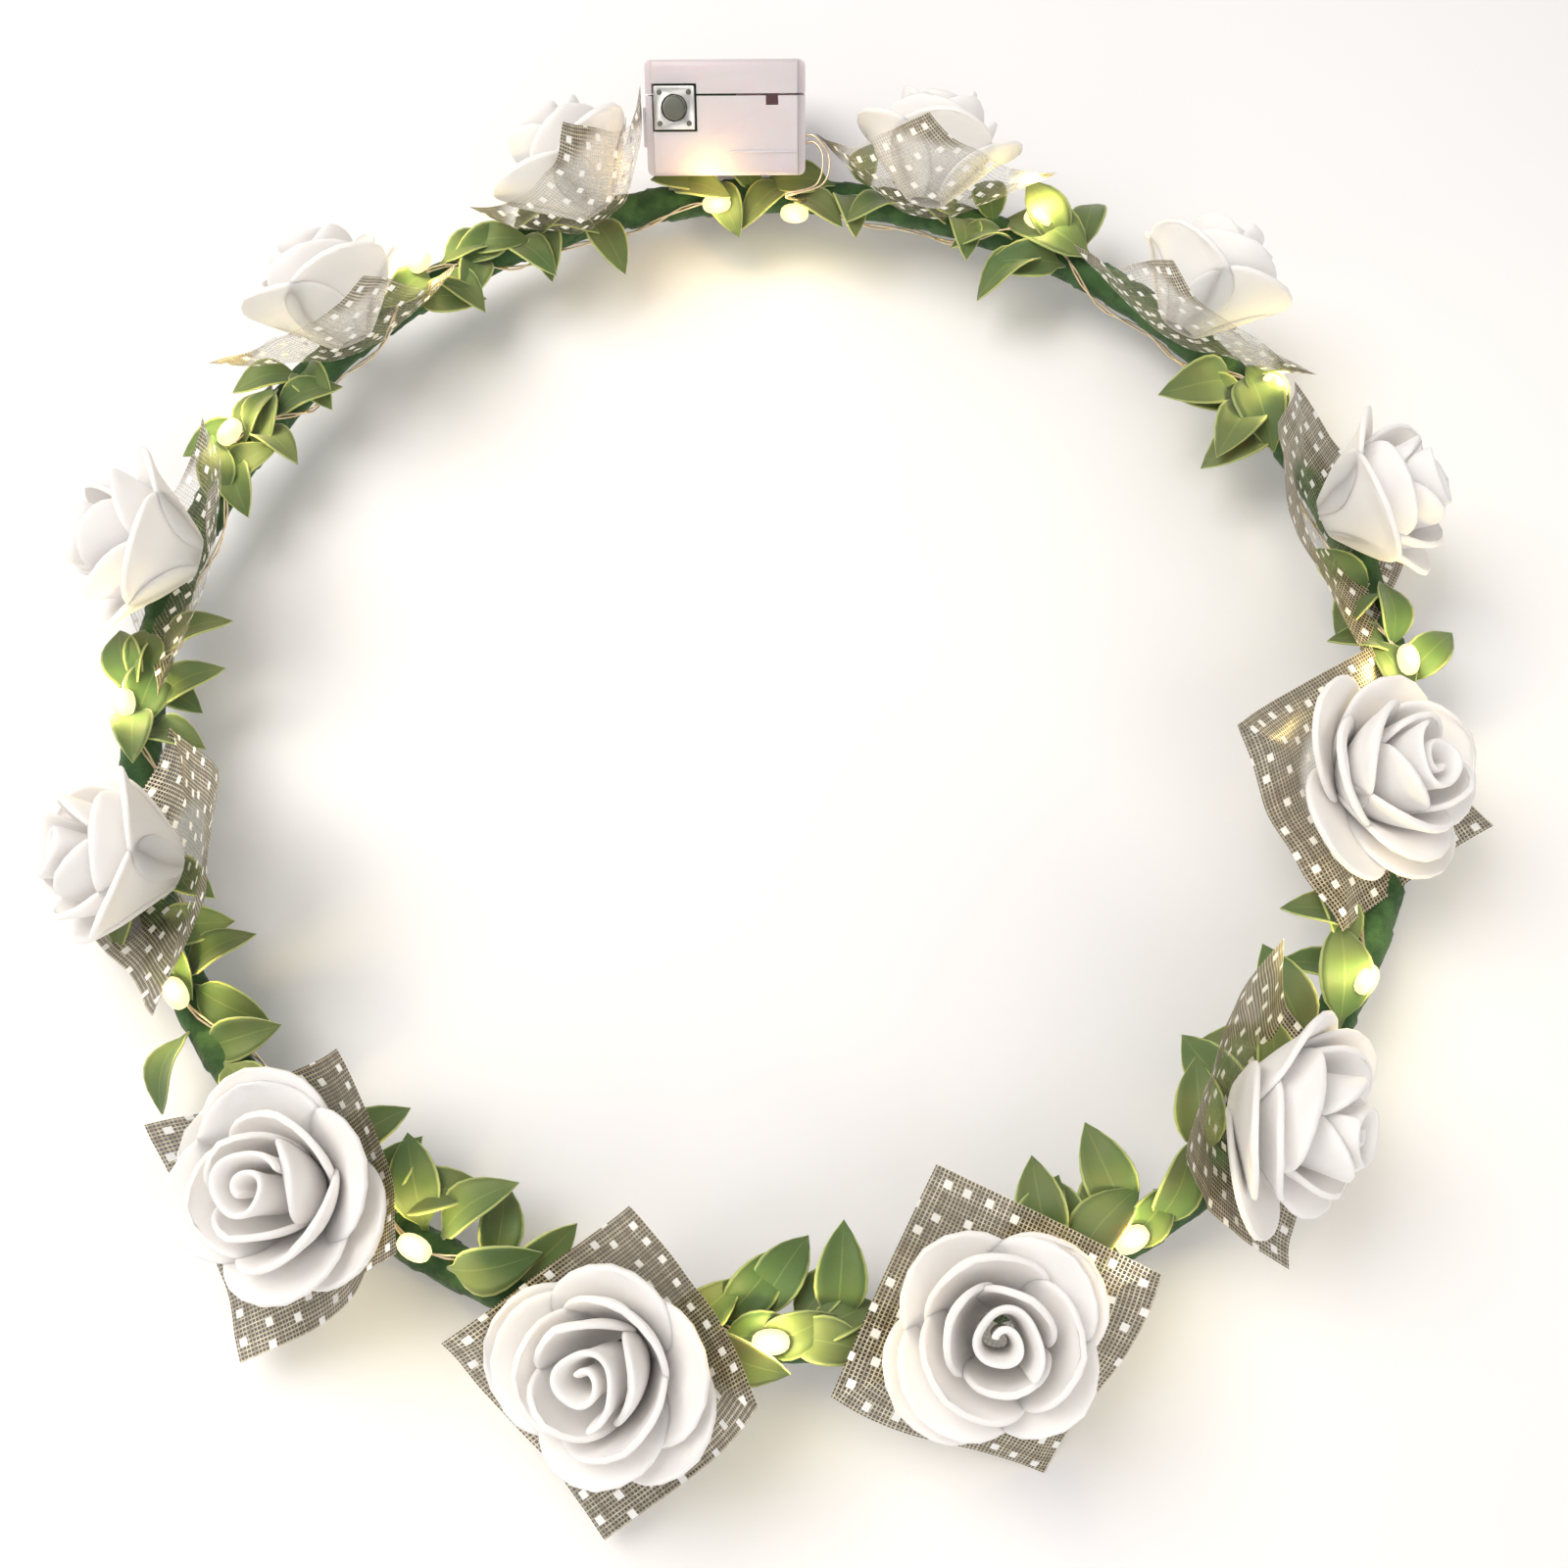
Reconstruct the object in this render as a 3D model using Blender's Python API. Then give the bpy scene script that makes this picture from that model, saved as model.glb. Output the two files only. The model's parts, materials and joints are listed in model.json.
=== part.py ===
"""Light-up flower crown: a wire hoop wrapped in floral tape that carries foam roses, tulle
squares, leaf sprigs, a string of small lights and its battery box. Metres, +Z up. The origin
is the centre of the hoop, on the table that the crown lies on."""

import math

import bmesh
import bpy
from mathutils import Matrix, Vector

# ---- Hoop -------------------------------------------------------------------------------
HOOP_RADIUS = 0.0850
HOOP_HEIGHT = 0.0085
HOOP_WIRE_RADIUS = 0.0010
TAPE_BORE_RADIUS = 0.0014
TAPE_RADIUS = 0.0025
HOOP_SEGMENTS = 60
HOOP_WIRE_SIDES = 6
TAPE_SIDES = 8
TAPE_JOIN_STATION = 94.0
TAPE_JOIN_SEGMENTS = 1
FIT_GAP = 0.0003
TAPE_CLEARANCE = 0.0004

# ---- Light string -----------------------------------------------------------------------
CORD_RADIUS = 0.00045
CORD_CLEARANCE = 0.0004
CORD_POINTS_PER_SPAN = 12
LIGHT_LENGTH = 0.0046
LIGHT_WIDTH = 0.0034
LIGHT_SIDES = 6
LIGHT_RINGS = 5
CORD_UNDER_SECTION = 250.0
# Each light: hoop station, section round the hoop. The first is next to the battery box.
LIGHTS = (
    (87.0, 158.0),
    (61.5, 84.0),
    (31.5, 84.0),
    (0.5, 84.0),
    (-30.5, 84.0),
    (-60.5, 84.0),
    (-90.0, 84.0),
    (-119.0, 84.0),
    (-149.0, 84.0),
    (-177.0, 84.0),
    (-206.5, 84.0),
    (-232.5, 84.0),
    (-264.5, 140.0),
)

# ---- Roses and tulle --------------------------------------------------------------------
TULLE_SIDE = 0.0300
TULLE_THICKNESS = 0.0003
TULLE_RINGS = 3
TULLE_EASE = 5.0
ROSE_RADIUS = 0.0125
ROSE_LENGTH = 0.0175
ROSE_SEGMENTS = 12
ROSE_PETALS = 4
PETAL_WAVE = 0.04
# Each ring of a rose: share of its radius, share of its length, turn of the petals. The
# first FLANK_RINGS rings are its funnel, which leans on the hoop.
FLANK_RINGS = 4
ROSE_RINGS = (
    (0.24, 0.00, 0.0),
    (0.36, 0.13, 0.0),
    (0.56, 0.28, 0.0),
    (0.80, 0.45, 0.0),
    (1.00, 0.66, 0.0),
    (0.95, 0.82, 0.0),
    (0.72, 0.84, 45.0),
    (0.56, 0.97, 45.0),
    (0.30, 1.00, 0.0),
    (0.14, 0.92, 0.0),
)
# Each rose: hoop station, heading from straight outward, rise above level (degrees), seat and
# aside (mm), tulle turn, tulle slope, slope of its lower side, and curl (degrees).
# A rose leans over the hoop and touches it this far up its flank (the seat) or, where aside
# isn't zero, it stands on its foot, moved across the hoop by aside.
ROSES = {
    "01": (110.0, 20, 30, 2.0, 0, 0, 42, 42, 15),
    "02": (137.5, -20, 32, 2.0, 0, 0, 20, 42, 5),
    "03": (169.0, 11, 30, 2.0, 0, 0, 12, 42, 5),
    "04": (199.5, -17, 36, 1.0, 0, 0, 10, 42, 5),
    "05": (232.0, -24, 75, 0, -1.5, 14, 40, -5, 0),
    "06": (260.8, -35, 70, 0, -2.7, 0, 40, 0, -10),
    "07": (288.8, -40, 80, 0, -3.5, 0, 30, -28, -20),
    "08": (314.5, 22, 32, 0.5, 0, 45, 18, 42, 0),
    "09": (347.0, -2, 62, 0.5, 0, 0, 22, 42, -30),
    "10": (15.0, -12, 36, 1.0, 0, 0, 8, 42, 0),
    "11": (42.5, 12, 28, 2.0, 0, 0, 15, 42, 5),
    "12": (73.0, 5, 26, 2.0, 0, 0, 30, 42, 10),
}

# ---- Leaf sprigs ------------------------------------------------------------------------
TWIG_RADIUS = 0.0005
TWIG_SIDES = 5
TWIG_STEP = 2.5
TWIG_TAIL = 1.0
LEAF_THICKNESS = 0.0006
LEAF_WIDTH_SHARE = 0.52
LEAF_ROOT_OVERLAP = 0.0004
# Half outline of a leaf: share of its length, share of its half width.
LEAF_OUTLINE = ((0.00, 0.14), (0.18, 0.62), (0.45, 1.00), (0.75, 0.72), (1.00, 0.06))
# Each sprig: its place round the hoop, then each leaf: hoop station of its foot, heading from
# straight outward, rise, length in mm.
SPRIGS = {
    "01": (
        132,
        (127.5, 165, 5, 9),
        (124, 160, 0, 11),
        (122, -130, 10, 10),
        (120, 165, -5, 10),
        (117, -150, 0, 11),
    ),
    "02": (150, (158, 140, 10, 10), (156, 165, 0, 10), (150.5, 170, -5, 11), (148, -150, 5, 10)),
    "03": (150, (180, 155, 0, 12), (182, -120, 5, 11), (185, -160, 10, 10), (188, 160, -10, 10)),
    "04": (150, (208, 130, 5, 12), (210, -150, -10, 10), (214, 150, 0, 10), (216, 165, 5, 11)),
    "05": (
        162,
        (237, -150, 10, 12),
        (239, 170, 5, 10),
        (242, 150, 0, 11),
        (243, 125, -5, 12),
        (246, 165, -5, 10),
    ),
    "06": (162, (266, -170, 10, 9), (268, 150, 5, 12), (271, 140, 0, 13), (273, 165, -5, 10)),
    "07": (
        162,
        (294, 175, -5, 9),
        (297, -175, 0, 9),
        (299, 140, 8, 14),
        (302, 179, 10, 10),
        (306, 169, 0, 9),
    ),
    "08": (162, (327, 153, 10, 11), (330, -171, 0, 9), (332, 146, 0, 12), (335, 160, -5, 10)),
    "09": (150, (361, 150, 10, 9), (363, -150, 0, 9), (366, 170, 0, 10)),
    "10": (150, (27, 155, -10, 10), (30, -150, 5, 10), (33, 150, -5, 12), (36, -170, 0, 11)),
    "11": (150, (54, 150, 10, 12), (57, -120, 5, 10), (59, 158, 10, 13), (62, 175, -5, 11)),
    "12": (132, (78, 175, -10, 10), (80, 145, -10, 9), (82, -150, 5, 10)),
}

# ---- Battery box ------------------------------------------------------------------------
BOX_WIDTH = 0.0236
BOX_DEPTH = 0.0265
BASE_HEIGHT = 0.0111
COVER_HEIGHT = 0.0046
BOX_WALL = 0.0012
BOX_CORNER = 0.0012
BOX_CENTRE_X = -0.0060
BOX_EDGE_INSIDE_HOOP = 0.0050
BOX_LEAN = 44.0
SWITCH_SIDE = 0.0060
SWITCH_DEPTH = 0.0035
SWITCH_PROUD = 0.0004
SWITCH_WALL_GAP = 0.0001
SWITCH_DOWN = 0.0065
BUTTON_RADIUS = 0.00155
BUTTON_PROUD = 0.0009
BUTTON_ROOM = 0.0006
BUTTON_TRAVEL = 0.00025
LATCH_WIDTH = 0.0018
LATCH_HEIGHT = 0.0013
LATCH_INSET_X = 0.0187
BOARD_WIDTH = 0.0120
BOARD_HEIGHT = 0.0080
BOARD_THICKNESS = 0.0010
CELL_RADIUS = 0.0100
CELL_THICKNESS = 0.0032
CONTACT_THICKNESS = 0.0004
CONTACT_WIDTH = 0.0060

# ---- Colours: base colour, roughness, metallic -------------------------------------------
FINISHES = {
    "hoop_steel": ((0.45, 0.44, 0.42), 0.40, 1.0),
    "floral_tape": ((0.06, 0.12, 0.03), 0.90, 0.0),
    "lamp_wire": ((0.80, 0.66, 0.45), 0.30, 1.0),
    "lamp_resin": ((1.00, 0.82, 0.45), 0.20, 0.0),
    "rose_foam": ((0.90, 0.88, 0.83), 0.80, 0.0),
    "tulle_mesh": ((0.62, 0.55, 0.42), 0.50, 0.3),
    "leaf_green": ((0.20, 0.34, 0.07), 0.65, 0.0),
    "frosted_plastic": ((0.85, 0.82, 0.80), 0.45, 0.0),
    "switch_metal": ((0.75, 0.74, 0.70), 0.30, 1.0),
    "switch_button": ((0.12, 0.13, 0.11), 0.50, 0.0),
    "circuit_board": ((0.10, 0.25, 0.10), 0.60, 0.0),
    "cell_steel": ((0.80, 0.80, 0.80), 0.25, 1.0),
}


def clear_scene():
    for item in list(bpy.data.objects):
        bpy.data.objects.remove(item)


def finish(name):
    """The shared material of this name, made the first time it is asked for."""
    material = bpy.data.materials.get(name)
    if material:
        return material
    colour, roughness, metallic = FINISHES[name]
    material = bpy.data.materials.new(name)
    material.use_nodes = True
    shader = material.node_tree.nodes["Principled BSDF"]
    shader.inputs["Base Color"].default_value = (*colour, 1.0)
    shader.inputs["Roughness"].default_value = roughness
    shader.inputs["Metallic"].default_value = metallic
    return material


def add_object(name, data, material_name=None, smooth=False):
    item = bpy.data.objects.new(name, data)
    bpy.context.scene.collection.objects.link(item)
    if material_name:
        data.materials.append(finish(material_name))
    if smooth:
        data.shade_smooth()
        data.set_sharp_from_angle(angle=math.radians(40))
    return item


def mesh_from(name, shape):
    """A mesh from a bmesh, with its faces turned outwards."""
    shape.normal_update()
    bmesh.ops.recalc_face_normals(shape, faces=shape.faces)
    mesh = bpy.data.meshes.new(name)
    shape.to_mesh(mesh)
    shape.free()
    return mesh


# ---- Places along the hoop ----------------------------------------------------------------
def directions(station):
    """Outward, forward along the hoop, and up, at this station of the hoop."""
    turn = math.radians(station)
    outward = Vector((math.cos(turn), math.sin(turn), 0))
    forward = Vector((-math.sin(turn), math.cos(turn), 0))
    return outward, forward, Vector((0, 0, 1))


def beside_hoop(station, distance, section):
    """A point beside the hoop's wire: section 0 is outward, 90 above, 180 inward, 270 below."""
    outward, _, up = directions(station)
    turn = math.radians(section)
    centre = outward * HOOP_RADIUS + up * HOOP_HEIGHT
    return centre + distance * (math.cos(turn) * outward + math.sin(turn) * up)


def pointing(station, heading, rise):
    """A direction that turns from straight outward by heading, and rises above level."""
    outward, forward, up = directions(station)
    turn = math.radians(heading)
    lift = math.radians(rise)
    level = math.cos(turn) * outward + math.sin(turn) * forward
    return math.cos(lift) * level + math.sin(lift) * up


def frame_along(axis, station):
    """A matrix whose Z is this axis and whose X lies along the hoop as far as it can."""
    _, forward, _ = directions(station)
    side = (forward - forward.dot(axis) * axis).normalized()
    return Matrix((side, axis.cross(side), axis)).transposed()


# ---- Rings and tubes ----------------------------------------------------------------------
def ring_of_tube(shape, station, radius, sides):
    step = 360 / sides
    return [shape.verts.new(beside_hoop(station, radius, step * (k + 0.5))) for k in range(sides)]


def bridge(shape, first, second):
    count = len(first)
    for k in range(count):
        after = (k + 1) % count
        shape.faces.new((first[k], first[after], second[after], second[k]))


def make_hoop_wire():
    shape = bmesh.new()
    step = 360 / HOOP_SEGMENTS
    rings = [
        ring_of_tube(shape, TAPE_JOIN_STATION + step * (k + 0.5), HOOP_WIRE_RADIUS, HOOP_WIRE_SIDES)
        for k in range(HOOP_SEGMENTS)
    ]
    for k, ring in enumerate(rings):
        bridge(shape, ring, rings[(k + 1) % HOOP_SEGMENTS])
    add_object("hoop_wire", mesh_from("hoop_wire", shape), "hoop_steel", smooth=True)


def make_stem_wrap():
    """The tape round the wire, an open-ended tube: its two ends stop short of each other
    under the battery box."""
    shape = bmesh.new()
    step = 360 / HOOP_SEGMENTS
    outer = []
    inner = []
    for k in range(HOOP_SEGMENTS + 1 - TAPE_JOIN_SEGMENTS):
        station = TAPE_JOIN_STATION + step * (k + TAPE_JOIN_SEGMENTS / 2)
        outer.append(ring_of_tube(shape, station, TAPE_RADIUS, TAPE_SIDES))
        inner.append(ring_of_tube(shape, station, TAPE_BORE_RADIUS, TAPE_SIDES))
    for k in range(len(outer) - 1):
        bridge(shape, outer[k], outer[k + 1])
        bridge(shape, inner[k], inner[k + 1])
    bridge(shape, outer[0], inner[0])
    bridge(shape, outer[-1], inner[-1])
    add_object("stem_wrap", mesh_from("stem_wrap", shape), "floral_tape", smooth=True)


# ---- Light string -------------------------------------------------------------------------
def cord_distance():
    return TAPE_RADIUS + CORD_CLEARANCE + CORD_RADIUS


def smooth_step(share):
    return share * share * (3 - 2 * share)


def make_light_wire():
    """One cord along the taped hoop: at each light it is next to the light, and half way to
    the next one it dips under the hoop, always on the hoop's inner side."""
    points = []
    for (start, start_section), (end, end_section) in zip(LIGHTS, LIGHTS[1:]):
        for k in range(CORD_POINTS_PER_SPAN):
            share = k / CORD_POINTS_PER_SPAN
            dip = smooth_step(1 - abs(2 * share - 1))
            level = start_section + (end_section - start_section) * share
            section = level + (CORD_UNDER_SECTION - level) * dip
            points.append(beside_hoop(start + (end - start) * share, cord_distance(), section))
    points.append(beside_hoop(LIGHTS[-1][0], cord_distance(), LIGHTS[-1][1]))
    curve = bpy.data.curves.new("light_wire", "CURVE")
    curve.dimensions = "3D"
    curve.bevel_depth = CORD_RADIUS
    curve.bevel_resolution = 1
    curve.use_fill_caps = True
    spline = curve.splines.new("POLY")
    spline.points.add(len(points) - 1)
    for slot, point in zip(spline.points, points):
        slot.co = (*point, 1)
    add_object("light_wire", curve, "lamp_wire")


def make_light(number, station, section):
    """One drop of clear resin over a small lamp, lying along the hoop on top of the cord."""
    distance = cord_distance() + CORD_RADIUS + FIT_GAP + LIGHT_WIDTH / 2
    centre = beside_hoop(station, distance, section)
    _, forward, _ = directions(station)
    side = (centre - beside_hoop(station, 0, 0)).normalized()
    shape = bmesh.new()
    bmesh.ops.create_uvsphere(shape, u_segments=LIGHT_SIDES, v_segments=LIGHT_RINGS, radius=0.5)
    turn = Matrix((side.cross(forward), side, forward)).transposed().to_4x4()
    size = Matrix.Diagonal((LIGHT_WIDTH, LIGHT_WIDTH, LIGHT_LENGTH, 1))
    shape.transform(Matrix.Translation(centre) @ turn @ size)
    name = f"light_{number:02d}"
    add_object(name, mesh_from(name, shape), "lamp_resin", smooth=True)


# ---- Roses and tulle ----------------------------------------------------------------------
def foot_radius():
    share, _, _ = ROSE_RINGS[0]
    return share * ROSE_RADIUS * (1 + PETAL_WAVE)


def flank_lean():
    """How steeply the rose's funnel rises from its foot."""
    first, _, _ = ROSE_RINGS[0]
    last, part, _ = ROSE_RINGS[FLANK_RINGS - 1]
    run = (last - first) * ROSE_RADIUS * (1 + PETAL_WAVE)
    return math.atan2(part * ROSE_LENGTH, run)


def flank_distance(height):
    """From the rose's axis to the hoop's centre, where the hoop touches the tulle over the
    rose's flank at this height above the foot."""
    lean = flank_lean()
    room = TAPE_RADIUS + TAPE_CLEARANCE + TULLE_THICKNESS + 2 * FIT_GAP
    return foot_radius() + height / math.tan(lean) + room / math.sin(lean)


def rose_place(station, heading, rise, seat, aside):
    """The matrix of a rose: its origin at the foot and its Z up the flower."""
    axis = pointing(station, heading, rise)
    _, _, up = directions(station)
    across = (up - up.dot(axis) * axis).normalized()
    place = frame_along(axis, station).to_4x4()
    if aside:
        room = TAPE_RADIUS + TAPE_CLEARANCE + TULLE_THICKNESS + FIT_GAP
        room += abs(hoop_climb(place, station)) * foot_radius()
        foot = axis * room + across * aside / 1000
    else:
        foot = across * flank_distance(seat / 1000) - axis * seat / 1000
    place.translation = beside_hoop(station, 0, 0) + foot
    return place


def hoop_climb(place, station):
    """How fast the hoop comes forward through the tulle's plane, along the plane's X."""
    _, forward, _ = directions(station)
    return forward.dot(place.col[2].xyz) / forward.dot(place.col[0].xyz)


def make_rose(number, place, tulle_turn):
    """One foam rose as its outer form. Its facets turn with the tulle's, so the two nest."""
    shape = bmesh.new()
    rings = []
    for width_share, length_share, petal_turn in ROSE_RINGS:
        ring = []
        for k in range(ROSE_SEGMENTS):
            turn = 2 * math.pi * k / ROSE_SEGMENTS + math.radians(tulle_turn)
            wave = math.cos(ROSE_PETALS * turn + math.radians(ROSE_PETALS * petal_turn))
            radius = ROSE_RADIUS * width_share * (1 + PETAL_WAVE * wave)
            spot = (radius * math.cos(turn), radius * math.sin(turn), ROSE_LENGTH * length_share)
            ring.append(shape.verts.new(spot))
        rings.append(ring)
    for lower, upper in zip(rings, rings[1:]):
        bridge(shape, lower, upper)
    shape.faces.new(rings[0])
    shape.faces.new(rings[-1])
    shape.transform(place)
    name = f"rose_{number}"
    add_object(name, mesh_from(name, shape), "rose_foam", smooth=True)


def make_tulle(number, place, climb, turn, slope, low_slope, curl):
    """A square of tulle between the rose and the hoop, one corner forward along the hoop. It
    rises round the rose as a shallow cone, its outer part curls, and a corner that reaches
    the table lies on it."""
    flat_radius = foot_radius()
    steepest = math.degrees(flank_lean()) - TULLE_EASE
    slope = min(slope, steepest)
    low_slope = min(low_slope, steepest)
    shape = bmesh.new()
    layers = []
    for offset in (-TULLE_THICKNESS - FIT_GAP, -FIT_GAP):
        rings = [[] for _ in range(TULLE_RINGS + 1)]
        for k in range(ROSE_SEGMENTS):
            bearing = 360 * k / ROSE_SEGMENTS
            reach = TULLE_SIDE / 2 / math.cos(math.radians(bearing % 90 - 45))
            turned = math.radians(bearing + turn)
            downward = max(0.0, -math.sin(turned))
            angle = math.radians(slope + (low_slope - slope) * downward)
            out = flat_radius
            lift = offset
            for j in range(TULLE_RINGS + 1):
                spot = Vector((out * math.cos(turned), out * math.sin(turned), lift))
                spot.z += max(0.0, abs(climb) * (math.copysign(spot.x, spot.x * climb) - flat_radius))
                world = place @ spot
                world.z = max(world.z, 0.0)
                rings[j].append(shape.verts.new(world))
                if j == TULLE_RINGS - 1:
                    angle += math.radians(curl)
                step = reach / TULLE_RINGS - (flat_radius if j == 0 else 0)
                out += step * math.cos(angle)
                lift += step * math.sin(angle)
        layers.append(rings)
        shape.faces.new(rings[0])
        for first, second in zip(rings, rings[1:]):
            bridge(shape, first, second)
    bridge(shape, layers[0][-1], layers[1][-1])
    name = f"tulle_{number}"
    add_object(name, mesh_from(name, shape), "tulle_mesh")


# ---- Leaf sprigs --------------------------------------------------------------------------
def twig_distance():
    return cord_distance() + CORD_RADIUS + FIT_GAP + TWIG_RADIUS


def make_leaf(name, section, station, heading, rise, length):
    """A flat oval blade with a point. It starts inside the twig, so the two join."""
    axis = pointing(station, heading, rise)
    side = Vector((0, 0, 1)).cross(axis).normalized()
    normal = axis.cross(side)
    foot = beside_hoop(station, twig_distance(), section) - axis * LEAF_ROOT_OVERLAP
    half_width = length * LEAF_WIDTH_SHARE / 2
    outline = [(along, across) for along, across in LEAF_OUTLINE]
    outline += [(along, -across) for along, across in reversed(LEAF_OUTLINE)]
    shape = bmesh.new()
    layers = []
    for offset in (-LEAF_THICKNESS / 2, LEAF_THICKNESS / 2):
        layer = []
        for along, across in outline:
            spot = foot + axis * along * length + side * across * half_width + normal * offset
            layer.append(shape.verts.new(spot))
        layers.append(layer)
        shape.faces.new(layer)
    bridge(shape, layers[0], layers[1])
    return mesh_from(name, shape)


def make_twig(name, section, stations):
    shape = bmesh.new()
    start = min(stations) - TWIG_TAIL
    end = max(stations) + TWIG_TAIL
    count = max(2, math.ceil((end - start) / TWIG_STEP))
    rings = []
    for k in range(count + 1):
        station = start + (end - start) * k / count
        outward, _, up = directions(station)
        ring = []
        for j in range(TWIG_SIDES):
            turn = 2 * math.pi * j / TWIG_SIDES
            spot = TWIG_RADIUS * (math.cos(turn) * outward + math.sin(turn) * up)
            ring.append(shape.verts.new(beside_hoop(station, twig_distance(), section) + spot))
        rings.append(ring)
    for first, second in zip(rings, rings[1:]):
        bridge(shape, first, second)
    shape.faces.new(rings[0])
    shape.faces.new(rings[-1])
    return mesh_from(name, shape)


def as_helper(item):
    item.hide_render = True
    item.display_type = "WIRE"


def make_sprig(number, section, leaves):
    """A twig along the hoop with its leaves joined to it as one body."""
    name = f"sprig_{number}"
    stations = [leaf[0] for leaf in leaves]
    sprig = add_object(name, make_twig(name, section, stations), "leaf_green")
    for k, (station, heading, rise, length) in enumerate(leaves):
        leaf_name = f"{name}_leaf_{k + 1}"
        blade = make_leaf(leaf_name, section, station, heading, rise, length / 1000)
        leaf = add_object(leaf_name, blade)
        as_helper(leaf)
        join = sprig.modifiers.new(f"join_leaf_{k + 1}", "BOOLEAN")
        join.operation = "UNION"
        join.solver = "EXACT"
        join.object = leaf


# ---- Battery box --------------------------------------------------------------------------
def box_frame():
    """Where the battery box stands: X across it, Y from base to cover, Z out of its front."""
    lean = math.radians(BOX_LEAN)
    across = Vector((1, 0, 0))
    upward = Vector((0, math.sin(lean), math.cos(lean)))
    front = Vector((0, -math.cos(lean), math.sin(lean)))
    matrix = Matrix((across, upward, front)).transposed().to_4x4()
    front_edge_y = HOOP_RADIUS - BOX_EDGE_INSIDE_HOOP
    matrix.translation = (BOX_CENTRE_X, front_edge_y, BOX_DEPTH * math.sin(lean))
    return matrix


def block(low, high):
    """A bmesh block between two corners."""
    shape = bmesh.new()
    bmesh.ops.create_cube(shape, size=1)
    low = Vector(low)
    high = Vector(high)
    size = high - low
    place = Matrix.Translation((low + high) / 2) @ Matrix.Diagonal((*size, 1))
    shape.transform(place)
    return shape


def disc(radius, start, end, axis, sides):
    """A bmesh cylinder between two heights along Y or Z."""
    shape = bmesh.new()
    bmesh.ops.create_cone(
        shape, cap_ends=True, segments=sides, radius1=radius, radius2=radius, depth=end - start
    )
    shape.transform(Matrix.Translation((0, 0, (start + end) / 2)))
    if axis == "Y":
        shape.transform(Matrix.Rotation(math.radians(-90), 4, "X"))
    return shape


def box_piece(name, shape, parent, material_name, at=(0, 0, 0), smooth=False):
    item = add_object(name, mesh_from(name, shape), material_name, smooth)
    item.parent = parent
    item.location = at
    return item


def cut(item, name, shape, parent, at=(0, 0, 0)):
    cutter = add_object(name, mesh_from(name, shape))
    cutter.parent = parent
    cutter.location = at
    as_helper(cutter)
    difference = item.modifiers.new(name, "BOOLEAN")
    difference.operation = "DIFFERENCE"
    difference.solver = "EXACT"
    difference.object = cutter


def round_corners(shape):
    """Rounds the four upright corners of a block whose height is along Y."""
    upright = [edge for edge in shape.edges if abs((edge.verts[0].co - edge.verts[1].co).y) > BOX_CORNER]
    bmesh.ops.bevel(shape, geom=upright, offset=BOX_CORNER, segments=2, profile=0.5, affect="EDGES")
    return shape


def switch_centre():
    """The switch's centre on the front face."""
    top = BASE_HEIGHT + FIT_GAP + COVER_HEIGHT
    inset = BOX_WALL + SWITCH_WALL_GAP + SWITCH_SIDE / 2
    return Vector((-BOX_WIDTH / 2 + inset, top - SWITCH_DOWN, 0))


def make_box():
    place = bpy.data.objects.new("battery_box", None)
    bpy.context.scene.collection.objects.link(place)
    place.matrix_world = box_frame()
    make_base(place)
    make_cover(place)
    make_switch(place)
    make_cells(place)


def window(depth_from, depth_to):
    """The square window for the switch, in the box's own frame."""
    half = SWITCH_SIDE / 2 + FIT_GAP
    centre = switch_centre()
    return block(
        (centre.x - half, centre.y - half, depth_from), (centre.x + half, centre.y + half, depth_to)
    )


def make_base(place):
    half = BOX_WIDTH / 2
    shell = round_corners(block((-half, 0, -BOX_DEPTH), (half, BASE_HEIGHT, 0)))
    base = box_piece("box_base", shell, place, "frosted_plastic")
    hollow = block(
        (-half + BOX_WALL, BOX_WALL, -BOX_DEPTH + BOX_WALL),
        (half - BOX_WALL, BASE_HEIGHT + BOX_WALL, -BOX_WALL),
    )
    cut(base, "base_hollow", hollow, place)
    cut(base, "base_switch_window", window(-2 * BOX_WALL, BOX_WALL), place)
    latch_x = -half + LATCH_INSET_X
    latch = block(
        (latch_x - LATCH_WIDTH / 2, BASE_HEIGHT - LATCH_HEIGHT, -2 * BOX_WALL),
        (latch_x + LATCH_WIDTH / 2, BASE_HEIGHT + LATCH_HEIGHT, BOX_WALL),
    )
    cut(base, "base_latch_window", latch, place)


def make_cover(place):
    half = BOX_WIDTH / 2
    low = BASE_HEIGHT + FIT_GAP
    high = low + COVER_HEIGHT
    shell = round_corners(block((-half, low, -BOX_DEPTH), (half, high, 0)))
    cover = box_piece("box_cover", shell, place, "frosted_plastic")
    hollow = block(
        (-half + BOX_WALL, low - BOX_WALL, -BOX_DEPTH + BOX_WALL),
        (half - BOX_WALL, high - BOX_WALL, -BOX_WALL),
    )
    cut(cover, "cover_hollow", hollow, place)
    cut(cover, "cover_switch_window", window(-2 * BOX_WALL, BOX_WALL), place)


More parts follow.
